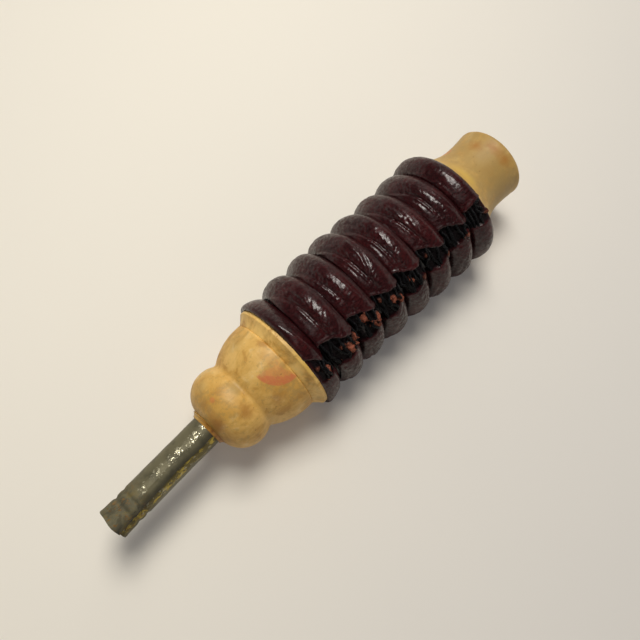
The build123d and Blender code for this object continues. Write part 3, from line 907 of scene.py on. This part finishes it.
def make_seam(sizes, thread, sleeve):
    """Sew the seam: stitches down across the recess, and slanted ones over each crease."""
    surface = BVHTree.FromObject(sleeve, bpy.context.evaluated_depsgraph_get())
    draw = np.random.RandomState(STITCH_SEED)
    paths = []

    def sew(start, end, lifts):
        stops = np.linspace(0, 1, len(lifts))
        path = []
        for stop, lift in zip(stops, lifts):
            mixed = [a * (1 - stop) + b * stop for a, b in zip(start[1:], end[1:])]
            path.append(sleeve_spot(sizes, surface, start[0], *mixed, lift))
        paths.append(curve_through(path, np.linspace(0, 1, STITCH_POINTS)))

    holes = []
    for row, (part, share) in enumerate(stitch_rows(sizes)):
        pair = []
        for lower in (False, True):
            beyond = draw.uniform(-0.1, 0.25)
            slant = (HOLE_SLANT if row % 2 else -HOLE_SLANT) * lower * (0 <= part < sizes.pleats)
            jogged = min(max(share + slant + draw.uniform(-HOLE_JOG, HOLE_JOG), 0.01), 0.99)
            pair.append((part, jogged, needle_angle(sizes, part, jogged, lower, beyond)))
        holes.append(pair)
    for index, (upper, lower) in enumerate(holes):
        sew(upper, lower, ACROSS_LIFTS)
        following = holes[(index + 1) % len(holes)][0]
        if following[0] == lower[0] and not 0.35 < lower[1] < 0.8:
            sew(lower, following, ONWARD_LIFTS)
    last_share, last_angle = holes[-1][0][1:]
    for swing, reach in ((0.0, 1.0), (0.05, 0.75)):
        tail = []
        for k in range(4):
            share, angle = last_share + TAIL_STEP * k, last_angle + swing * (1 + k)
            tail.append(sleeve_spot(sizes, surface, REAR_HEM, share, angle, 0.3))
        paths.append(curve_through(tail, np.linspace(0, reach, 22)))
    return make_threads("seam_stitches", paths, thread.radius, STITCH_LAY, sides=2)


def make_binding(name, low, high, thread):
    """Whip a thread round the leather in an end valley, in a flat coil of touching turns."""
    middle, half = (low.x + high.x) / 2, (high.x - low.x) / 2
    radius = thread.radius * WHIPPING_THREAD
    floor = (high.y - low.y) / 2 - 2 * radius - WHIPPING_CLEARANCE
    turns = int((2 * half - 2 * radius) / (WHIPPING_PITCH * radius))
    steps = np.arange(turns * WHIPPING_STEPS + 1) / WHIPPING_STEPS
    angle = steps * TURN
    reach = floor + radius
    path = np.stack(
        [
            middle - half + radius + steps / turns * 2 * (half - radius),
            -reach * np.sin(angle),
            AXIS_HEIGHT + reach * np.cos(angle),
        ],
        axis=1,
    )
    return make_threads(name, [path], radius, WHIPPING_LAY, sides=1)


SPRING_WIRE = 0.6 * MM
SPRING_TURNS, SPRING_STEPS, SPRING_SIDES = 7, 40, 14


def make_spring():
    """Screw the wire's round section along the axis into an open coil."""
    wire = SPRING_WIRE
    coil = (spring_high.y - spring_low.y) / 2 - wire
    clear_selection()
    bpy.ops.mesh.primitive_circle_add(
        vertices=SPRING_SIDES, radius=wire, location=(spring_low.x + wire, coil, AXIS_HEIGHT)
    )
    spring = named("spring_coil")
    bpy.ops.object.transform_apply(location=True, rotation=True, scale=True)
    rise = spring_high.x - spring_low.x - 2 * wire
    move_points(spring.data, points_of(spring.data) - np.array([0, 0, AXIS_HEIGHT]))
    apply_modifier(
        spring,
        "SCREW",
        axis="X",
        angle=TURN * SPRING_TURNS,
        screw_offset=rise,
        steps=SPRING_STEPS * SPRING_TURNS,
        render_steps=SPRING_STEPS * SPRING_TURNS,
        use_merge_vertices=True,
        merge_threshold=1e-6,
    )
    bpy.ops.object.mode_set(mode="EDIT")
    bpy.ops.mesh.select_all(action="DESELECT")
    bpy.ops.mesh.select_non_manifold(extend=False)
    bpy.ops.mesh.edge_face_add()
    face_outwards()
    move_points(spring.data, points_of(spring.data) + np.array([0, 0, AXIS_HEIGHT]))
    smooth_faces(spring)
    return spring


def wire_finish():
    """Drawn spring wire with a brown oxide."""
    made = Finish("Spring wire", Metallic=0.9)
    oxide = made.mottle(600, 4)
    made.feed("Base Color", made.mix((0.20, 0.19, 0.18), (0.13, 0.075, 0.04), made.span(oxide, 0.45, 0.65)))
    made.feed("Roughness", 0.28 + 0.3 * oxide)
    return made


# Pipe: rows along the sheet and round it, its share inside the head, and how far it wraps
PIPE_ROWS = 150
PIPE_COLUMNS = 150
SEATED_SHARE = 0.12
PIPE_WRAP = math.radians(374)
# The mouth below: its start, its end and the end of its lip from the head, half width, lip's half angle, drop
MOUTH_START, MOUTH_END, LIP_END = 4.2, 9.2, 11.5
MOUTH_HALF_WIDTH, LIP_HALF_ANGLE, LIP_DROP = 2.5, 33, 0.42
# Crimps: distance from the tip, half width, depth; dents: distance from the tip, angle, length, width, depth
CRIMPS = ((5.0, 0.8, 0.30), (7.8, 0.8, 0.26))
DENTS = (
    (12.0, -30, 2.2, 22, 0.10),
    (20.0, 10, 3.0, 25, 0.07),
    (26.0, 35, 2.4, 20, 0.10),
    (16.0, 80, 3.0, 30, 0.16),
    (23.0, 92, 2.6, 26, 0.14),
    (10.0, 70, 1.8, 22, 0.18),
    (3.0, 60, 1.6, 25, 0.16),
    (14.5, 150, 3.0, 30, 0.12),
    (8.0, -120, 2.5, 30, 0.10),
)


def make_pipe(pipe):
    """Roll a flat sheet into the whistle pipe: lap, crimps, mouth and dents, then give it its thickness."""
    clear_selection()
    bpy.ops.mesh.primitive_grid_add(x_subdivisions=PIPE_ROWS, y_subdivisions=PIPE_COLUMNS, size=1)
    made = named("whistle_pipe")
    mesh = made.data
    flat = points_of(mesh)
    along = flat[:, 0] + 0.5
    wrap = flat[:, 1] + 0.5
    exposed, seated = pipe.exposed / MM, pipe.seated / MM
    reach = np.where(
        along < SEATED_SHARE,
        -seated + seated * along / SEATED_SHARE,
        exposed * (along - SEATED_SHARE) / (1 - SEATED_SHARE),
    )
    to_tip = exposed - reach
    slack = ease(to_tip, 11.5, 3.0)
    edge = pipe.lap_angle + math.radians(2.0) * np.sin(0.35 * reach) + math.radians(9) * slack
    turned = wrap * PIPE_WRAP
    angle = edge - turned
    radius = pipe.radius / MM + pipe.lap / MM * (1 - ease(turned, 0, math.radians(150)))
    radius = radius - 0.10 * ease(turned, math.radians(345), PIPE_WRAP)
    opened = slack * ease(turned, math.radians(75), 0) * 0.30
    tucked = slack * ease(turned, math.radians(290), math.radians(345)) * 0.22
    radius = radius + opened - tucked
    degrees = np.degrees((angle + math.pi) % TURN - math.pi)
    for setback, half, depth in CRIMPS:
        uneven = 1 + 0.25 * np.sin(3 * angle + setback)
        radius = radius - depth * hump(to_tip - setback, half * 0.75) * uneven
    for setback, middle, length, width, depth in DENTS:
        sideways = (degrees - middle + 180) % 360 - 180
        radius = radius - depth * hump(to_tip - setback, length) * hump(sideways, width)
    radius = radius + 0.12 * hump(to_tip, 0.9) + 0.02 * np.sin(0.9 * reach + 2 * angle)
    lip = (reach > MOUTH_END) & (reach < LIP_END)
    lip &= np.abs((degrees + 360) % 360 - 180) < LIP_HALF_ANGLE
    radius = radius - np.where(lip, LIP_DROP * (LIP_END - reach) / (LIP_END - MOUTH_END), 0)
    tip_wave = 0.16 * np.sin(2 * angle + 0.6) + 0.10 * np.sin(5 * angle)
    reach = reach + tip_wave * ease(to_tip, 2.5, 0)
    tipward = np.array([-math.cos(pipe.lean), -math.sin(pipe.lean), 0])
    across = np.cross(tipward, (0, 0, 1))
    up = np.array([0.0, 0.0, 1.0])
    root = np.array([head_low.x, 0, AXIS_HEIGHT])
    sideward = -across if across[1] > 0 else across
    rolled = (
        root
        + tipward * (reach * MM)[:, None]
        + up * (radius * np.cos(angle) * MM)[:, None]
        + sideward * (radius * np.sin(angle) * MM)[:, None]
    )
    move_points(mesh, rolled)
    paint(mesh, "turned", np.degrees(turned))
    paint(mesh, "to_tip", to_tip)
    bpy.ops.object.mode_set(mode="EDIT")
    sheet = bmesh.from_edit_mesh(mesh)
    for face in sheet.faces:
        middle = face.calc_center_median() - Vector(root)
        run = middle.dot(Vector(tipward)) / MM
        aside = middle.dot(Vector(sideward)) / MM
        face.select = MOUTH_START < run < MOUTH_END and middle.z < 0 and abs(aside) < MOUTH_HALF_WIDTH
    bmesh.update_edit_mesh(mesh)
    bpy.ops.mesh.delete(type="FACE")
    face_outwards()
    outward = 0.0
    for polygon in mesh.polygons:
        arm = polygon.center - Vector(root)
        arm -= Vector(tipward) * arm.dot(Vector(tipward))
        outward += polygon.normal.dot(arm.normalized())
    if outward < 0:
        bpy.ops.object.mode_set(mode="EDIT")
        bpy.ops.mesh.select_all(action="SELECT")
        bpy.ops.mesh.flip_normals()
        bpy.ops.object.mode_set(mode="OBJECT")
    apply_modifier(made, "SOLIDIFY", thickness=pipe.sheet, offset=-1, use_even_offset=True)
    smooth_faces(made, math.radians(50))
    return made


def pipe_finish(pipe):
    """Plated sheet metal gone grey-olive, brassy beside the lap, rusty at the tip, with a painted shadow
    along the lap's free edge.
    """
    made = Finish("Tarnished plate", Specular_IOR_Level=0.5)
    turned, to_tip = made.painted("turned"), made.painted("to_tip")
    cloud = made.mottle(260, 5, 0.62)
    fleck = made.mottle(1250, 4, 0.7)
    pit = made.mottle(2600, 3, 0.65)
    colour = made.mix(shaded(pipe.tarnish, 0.62), pipe.tarnish, made.span(cloud, 0.34, 0.6))
    strip = made.span(turned, 320, 336)
    patch = made.mottle(520, 4, 0.65, 0.8, made.stretched((0.55, 1, 1)))
    crumple = made.mottle(800, 3, 0.6, 0.6, made.stretched((0.7, 1, 1)))
    colour = made.mix(colour, shaded(pipe.brass, 0.25), strip * 0.7)
    colour = made.mix(colour, pipe.brass, strip * made.span(patch, 0.50, 0.58) * made.span(cloud, 0.40, 0.52))
    colour = made.mix(colour, (0.42, 0.40, 0.30), strip * made.span(crumple, 0.56, 0.66) * 0.6)
    bare = made.span(turned, 22, 30) * made.span(turned, 60, 46) * made.span(to_tip, 9.5, 12)
    clustered = made.span(made.mottle(300, 2), 0.42, 0.54)
    bright = bare * clustered * made.span(fleck, 0.54, 0.59)
    colour = made.mix(colour, (0.70, 0.66, 0.47), bright)
    rust = made.span(to_tip, 14, 4) * made.span(made.mottle(820, 4, 0.7), 0.54, 0.62)
    colour = made.mix(colour, (0.22, 0.105, 0.02), rust * 0.8)
    aged = made.span(to_tip, 13, 6)
    ochre = aged * made.span(patch, 0.52, 0.60) * made.span(turned, 120, 40)
    colour = made.mix(colour, (0.21, 0.15, 0.035), ochre * 0.6)
    # painted shadow: a dark band on the outer layer beside the lap's free edge, plus real grime in patches
    # near the tip
    lap_shadow_and_tip_grime = made.span(turned, 24, 4) * 0.85 + aged * made.span(patch, 0.50, 0.38) * 0.55
    colour = made.mix(colour, (0.028, 0.025, 0.017), lap_shadow_and_tip_grime * 0.75)
    made.feed("Base Color", colour)
    made.feed("Metallic", 0.35 + 0.5 * bright - 0.3 * rust)
    made.feed("Roughness", 0.42 + 0.16 * cloud - 0.24 * bright + 0.25 * rust + 0.2 * made.span(to_tip, 12, 8))
    hammered = made.relief(fleck * (0.25 + bare) + crumple * strip * 1.6, 0.00022, 0.5)
    made.feed("Normal", made.relief(pit, 0.00004, 0.5, hammered))
    return made


# Marks on the boxwood: centre as station, y and z, reach, both in millimetres, and strength
STAINS = (
    ((-10.3, -8.6, 26.3), (4.0, 3.4, 3.6), 0.85),
    ((-18.6, -6.2, 27.2), (3.2, 3.0, 3.0), 0.80),
    ((-24.9, 2.2, 27.0), (2.4, 3.6, 2.4), 0.45),
    ((-25.9, -3.0, 25.5), (3.2, 5.0, 4.5), 0.9),
    ((-26.9, -4.4, 20.0), (2.0, 3.6, 6.0), 0.8),
    ((82.1, 3.8, 27.6), (3.0, 3.6, 2.6), 0.9),
    ((84.7, -1.2, 28.5), (2.4, 4.4, 2.6), 0.95),
    ((84.6, -5.3, 27.2), (3.0, 3.8, 2.8), 0.9),
)
GOLDEN = (
    ((70.2, -1.0, 30.4), (3.0, 9.0, 4.0), 0.75),
    ((-0.5, -9.0, 31.0), (1.5, 9.0, 5.0), 0.5),
)
DIRT_AND_SHADE = (
    ((-16.8, 0.1, 28.5), (2.6, 2.8, 2.4), 0.65),
    ((-22.3, 6.5, 26.0), (3.5, 3.0, 3.0), 0.4),
    ((-8.3, 8.5, 28.5), (4.0, 4.0, 3.0), 0.35),
    # painted shade: the grey-olive patch on the knob's -Y side, away from the lamps
    ((80.0, -9.5, 22.0), (9.0, 6.0, 9.0), 0.5),
    ((80.0, -3.0, 26.0), (14.0, 16.0, 16.0), 0.45),
    ((80.0, 0.0, 22.0), (36.0, 40.0, 40.0), 0.72),
)
ROUGE = (
    ((-22.7, 1.7, 28.5), (0.9, 1.0, 0.9), 0.5),
    ((77.1, 9.6, 23.0), (2.6, 1.4, 3.2), 0.5),
)
# Red mark left by the foot of something round: centre, radius, middle of the arc that is left of it
RING_MARK_CENTRE = (-4.0, -2.5, 31.4)
RING_MARK_RADIUS = 7.14
RING_MARK_MIDDLE = (-0.658, -0.658, -0.364)


def ring_mark(made):
    """Share of red: crisp along the ring's rim, brushed thin towards its middle, wide at mid arc."""
    offset = made.vector("SUBTRACT", made.place, at_station(RING_MARK_CENTRE))
    far = made.vector("LENGTH", offset) * (1 / MM)
    facing = made.vector("DOT_PRODUCT", offset, RING_MARK_MIDDLE)
    facing = made.math("DIVIDE", facing * (1 / MM), far)
    brushed = made.mottle(900, 4, 0.65, 0.4, made.stretched((1, 0.5, 0.5), (0, 0, 0.7)))
    rim = made.span(far + (brushed - 0.5) * 0.6, RING_MARK_RADIUS + 0.15, RING_MARK_RADIUS - 0.15)
    inner = far + 5.5 * facing + (brushed - 0.5) * 2.4
    inner = made.span(inner, RING_MARK_RADIUS + 1.9, RING_MARK_RADIUS + 3.6)
    rubbed = far + 14 * facing + (brushed - 0.5) * 5
    rubbed = made.span(rubbed, RING_MARK_RADIUS + 6.8, RING_MARK_RADIUS + 9.4)
    left = made.math("MAXIMUM", inner, rubbed * 0.5)
    return rim * left * made.span(facing, 0.63, 0.74) * (0.45 + 0.7 * brushed)


def boxwood_finish(wood):
    """Turned boxwood, waxed by handling, stained and pocked, with painted light on the flare and painted
    shade on the knob's -Y side.
    """
    made = Finish("Turned boxwood", Specular_IOR_Level=0.45)
    grain = made.mottle(520, 5, 0.6, 0.3, made.stretched((0.16, 1, 1)))
    cloud = made.mottle(95, 4, 0.55)
    smear = made.mottle(210, 5, 0.6, 0.5)
    dirt = made.mottle(640, 5, 0.65)
    specks = made.mottle(1700, 4, 0.7)
    pores = made.cells(620, where=made.stretched((0.55, 1, 1)))
    turned = made.mottle(2600, 2, 0.5, 0, made.stretched((1, 0.06, 0.06)))
    colour = made.mix(wood.pale, wood.warm, made.span(cloud * 0.5 + smear * 0.5, 0.38, 0.58))
    colour = made.mix(colour, shaded(wood.warm, 0.72), made.span(grain, 0.50, 0.70) * 0.4)
    colour = made.mix(colour, wood.stain, made.span(smear, 0.54, 0.70) * 0.45)
    colour = made.mix(colour, wood.worn, made.span(smear, 0.46, 0.32) * made.span(dirt, 0.42, 0.6) * 0.55)
    colour = made.mix(colour, wood.dirt, made.span(dirt * 0.55 + cloud * 0.45, 0.51, 0.61) * 0.45)
    colour = made.mix(colour, wood.dirt, made.span(specks, 0.56, 0.68) * made.span(dirt, 0.4, 0.6) * 0.5)
    # handling dirt, and painted shade on the knob's -Y side
    colour = made.spotted(colour, DIRT_AND_SHADE, wood.dirt, 0.9, 0.1)
    along = made.axis("X")
    # painted light: the flare, from the scribed line to the leather, is painted paler to lift its shading
    flange = made.span(along, FLANGE_X - 4.1 * MM, FLANGE_X - 3.5 * MM)
    flange = flange * made.span(along, 2 * MM + FLANGE_X, FLANGE_X)
    colour = made.mix(colour, wood.flare_painted_light, flange * made.span(smear, 0.66, 0.40) * 0.5)
    colour = made.spotted(colour, STAINS, wood.stain, 1.1, -0.1)
    colour = made.spotted(colour, GOLDEN, wood.golden, 0.8, -0.1)
    colour = made.spotted(colour, ROUGE, wood.rouge, 0.5, 0.45)
    colour = made.mix(colour, wood.rouge, ring_mark(made) * made.span(specks, 0.2, 0.5))
    pock = made.span(pores, 0.13, 0.05) * made.span(smear, 0.46, 0.6)
    colour = made.mix(colour, shaded(wood.stain, 0.4), pock * 0.5)
    made.feed("Base Color", colour)
    made.feed("Roughness", 0.36 + 0.18 * smear + 0.1 * grain)
    rings = made.relief(turned, 0.00006, 0.35)
    made.feed("Normal", made.relief(grain * 0.5 - pock, 0.00012, 0.4, rings))
    return made


def shellac_finish():
    """Brown shellac, glossy, darker towards -Y, thicker and darker in places."""
    made = Finish("Brown shellac", Specular_IOR_Level=0.5)
    pooled = made.mottle(700, 4, 0.6)
    # darker towards -Y, light amber towards +Y
    run = made.span(made.axis("Y"), 0.004, -0.0015)
    darker_side = made.mix((0.44, 0.20, 0.024), (0.28, 0.105, 0.012), made.span(pooled, 0.4, 0.65))
    made.feed("Base Color", made.mix((0.56, 0.33, 0.075), darker_side, run))
    made.feed("Roughness", 0.36 + 0.3 * pooled)
    made.feed("Normal", made.relief(pooled, 0.0002, 0.5))
    return made


def block_finish(name, pale, dark):
    """Plain close-grained plug, whittled and dry."""
    made = Finish(name)
    grain = made.mottle(700, 5, 0.6, 0.2, made.stretched((0.15, 1, 1)))
    made.feed("Base Color", made.mix(pale, dark, made.span(grain, 0.4, 0.65)))
    made.feed("Roughness", 0.6 + 0.25 * grain)
    made.feed("Normal", made.relief(grain, 0.00012, 0.5))
    return made


# Stage: the way in which painted shade darkens the floor, where it starts and ends to fade into the wall, in
# metres
SHADE_WAY = (0.4, -0.92, 0)
FADE_START, FADE_END = 0.17, 0.9
FLOOR_SIZE = 6
# Each lamp's name, place and size, and the setting that holds its power
LAMPS = (
    ("key_lamp", (0.14, 0.13, 0.61), (0.24, 0.30), "key_power"),
    ("broad_lamp", (0.15, 0.10, 0.68), (0.34, 1.50), "broad_power"),
)
LAMP_COLOUR = (1.0, 0.965, 0.91)
LAMP_AIM = (0.01, 0, 0.02)
ROOM_TINT = (1, 0.985, 0.98)
SENSOR_WIDTH = 36
NEAR_CLIP = 0.005


def floor_finish(stage):
    """Matt off-white floor with painted shade growing one way and a painted glow that lifts its shadows,
    fading into the wall far from the part.
    """
    made = Finish("Off-white floor", Roughness=0.75, Specular_IOR_Level=0.2, Emission_Strength=1.0)
    along = made.vector("DOT_PRODUCT", made.place, SHADE_WAY)
    # painted shade: the floor darkens along SHADE_WAY in place of the lamps' falloff
    shade = made.span(along + 0.03 * made.mottle(9, 3), -0.09, 0.17)
    far = made.span(made.vector("LENGTH", made.place), FADE_START, FADE_END)
    made.feed("Base Color", made.mix(made.mix(stage.floor, stage.floor_shade, shade), (0, 0, 0), far))
    # painted fill light near the part, going over to the wall's even paleness far away
    lift = made.mix(stage.floor_painted_fill, stage.horizon, far)
    made.feed("Emission Color", made.mix((0, 0, 0), lift, made.background_rays()))
    return made


def make_room(stage):
    """Light from the walls that falls off towards the ceiling, and the pale wall behind the floor."""
    world = bpy.data.worlds.new("room")
    room = NodeSheet(world)
    ray = room.node("ShaderNodeTexCoord", output="Generated")
    height = room.node("ShaderNodeSeparateXYZ", {}, {0: ray}, "Z")
    walls, above = ([level * tint for tint in ROOM_TINT] for level in (stage.sky, stage.ceiling))
    light = room.mix(walls, above, room.span(height, 0.05, 0.75))
    backdrop = room.mix(stage.horizon, [stage.ceiling] * 3, room.span(height, 0.32, 0.50, "LINEAR"))
    seen = room.mix(light, backdrop, room.background_rays())
    room.tree.links.new(seen.socket, room.tree.nodes["Background"].inputs["Color"])
    return world


def aim(thing, way):
    """Turn a lamp or the camera to look along a direction."""
    thing.rotation_euler = way.to_track_quat("-Z", "Y").to_euler()


class BIRDCALL_OT_sleeve(bpy.types.Operator):
    """Make the pleated leather sleeve"""

    bl_idname = "birdcall.sleeve"
    bl_label = "Leather sleeve"

    def execute(self, context):
        sizes = context.scene.birdcall_sleeve
        sleeve = make_sleeve(sizes)
        leather_finish(sizes).dress(sleeve)
        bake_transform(sleeve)
        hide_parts("bellows_leather")
        return {"FINISHED"}


class BIRDCALL_OT_seam(bpy.types.Operator):
    """Sew the seam and whip the two end valleys"""

    bl_idname = "birdcall.seam"
    bl_label = "Seam and whippings"

    def execute(self, context):
        sizes, thread = context.scene.birdcall_sleeve, context.scene.birdcall_thread
        black = thread_finish(thread)
        stitches = make_seam(sizes, thread, bpy.data.objects["bellows_sleeve"])
        black.dress(stitches)
        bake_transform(stitches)
        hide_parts("seam_thread")
        front = make_binding("front_whipping", front_tie_low, front_tie_high, thread)
        black.dress(front)
        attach(front, "head")
        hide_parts("front_binding")
        rear = make_binding("rear_whipping", rear_tie_low, rear_tie_high, thread)
        black.dress(rear)
        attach(rear, "knob")
        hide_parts("rear_binding")
        return {"FINISHED"}


class BIRDCALL_OT_spring(bpy.types.Operator):
    """Coil the return spring inside the sleeve"""

    bl_idname = "birdcall.spring"
    bl_label = "Return spring"

    def execute(self, context):
        spring = make_spring()
        wire_finish().dress(spring)
        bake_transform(spring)
        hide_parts("return_spring")
        return {"FINISHED"}


class BIRDCALL_OT_pipe(bpy.types.Operator):
    """Roll the whistle pipe and finish what is set in it"""

    bl_idname = "birdcall.pipe"
    bl_label = "Whistle pipe"

    def execute(self, context):
        pipe = context.scene.birdcall_pipe
        made = make_pipe(pipe)
        pipe_finish(pipe).dress(made)
        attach(made, "head")
        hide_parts("whistle_tube")
        shellac_finish().dress(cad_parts["tube_seal"])
        block_finish("Whittled block", (0.50, 0.33, 0.17), (0.30, 0.17, 0.08)).dress(
            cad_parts["whistle_block"]
        )
        block_finish("Old cork", (0.36, 0.20, 0.10), (0.12, 0.06, 0.03)).dress(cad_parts["end_stopper"])
        return {"FINISHED"}


class BIRDCALL_OT_wood(bpy.types.Operator):
    """Finish the turned head and knob"""

    bl_idname = "birdcall.wood"
    bl_label = "Turned boxwood"

    def execute(self, context):
        boxwood = boxwood_finish(context.scene.birdcall_wood)
        for node in ("turned_head", "rear_knob"):
            boxwood.dress(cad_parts[node])
        return {"FINISHED"}


class BIRDCALL_OT_stage(bpy.types.Operator):
    """Lay the floor, hang the lamps and stand the camera"""

    bl_idname = "birdcall.stage"
    bl_label = "Stage"

    def execute(self, context):
        stage = context.scene.birdcall_stage
        clear_selection()
        bpy.ops.mesh.primitive_plane_add(size=FLOOR_SIZE, location=(0, 0, 0))
        floor = named("floor")
        floor_finish(stage).dress(floor)
        for name, place, size, power in LAMPS:
            bpy.ops.object.light_add(type="AREA", location=place)
            lamp = named(name)
            lamp.data.shape = "RECTANGLE"
            lamp.data.size, lamp.data.size_y = size
            lamp.data.energy = getattr(stage, power)
            lamp.data.color = LAMP_COLOUR
            aim(lamp, Vector(LAMP_AIM) - lamp.location)
        context.scene.world = make_room(stage)
        bpy.ops.object.camera_add(location=stage.station)
        camera = named("camera")
        aim(camera, Vector(stage.sight).normalized())
        camera.data.lens = stage.lens
        camera.data.sensor_width = SENSOR_WIDTH
        camera.data.clip_start = NEAR_CLIP
        context.scene.camera = camera
        context.scene.view_settings.view_transform = "Standard"
        return {"FINISHED"}


class BIRDCALL_PT_panel(bpy.types.Panel):
    """Lists the pieces of the bird call"""

    bl_idname = "BIRDCALL_PT_panel"
    bl_label = "Bird call"
    bl_space_type = "VIEW_3D"
    bl_region_type = "UI"
    bl_category = "Bird call"

    def draw(self, context):
        for operator in OPERATORS:
            self.layout.operator(operator.bl_idname)
        for group in SETTINGS:
            box = self.layout.box()
            settings = getattr(context.scene, group)
            for name in settings.__annotations__:
                box.prop(settings, name)


SETTINGS = {
    "birdcall_sleeve": SleeveSizes,
    "birdcall_thread": ThreadSizes,
    "birdcall_pipe": PipeSizes,
    "birdcall_wood": WoodColours,
    "birdcall_stage": StageSettings,
}
OPERATORS = (
    BIRDCALL_OT_sleeve,
    BIRDCALL_OT_seam,
    BIRDCALL_OT_spring,
    BIRDCALL_OT_pipe,
    BIRDCALL_OT_wood,
    BIRDCALL_OT_stage,
)


def register():
    for group in (*SETTINGS.values(), *OPERATORS, BIRDCALL_PT_panel):
        bpy.utils.register_class(group)
    for name, group in SETTINGS.items():
        setattr(bpy.types.Scene, name, PointerProperty(type=group))


def unregister():
    for name in SETTINGS:
        delattr(bpy.types.Scene, name)
    for group in reversed((*SETTINGS.values(), *OPERATORS, BIRDCALL_PT_panel)):
        bpy.utils.unregister_class(group)


def main():
    register()
    bpy.ops.birdcall.sleeve()
    bpy.ops.birdcall.seam()
    bpy.ops.birdcall.spring()
    bpy.ops.birdcall.pipe()
    bpy.ops.birdcall.wood()
    bpy.ops.birdcall.stage()


if __name__ == "__main__":
    main()
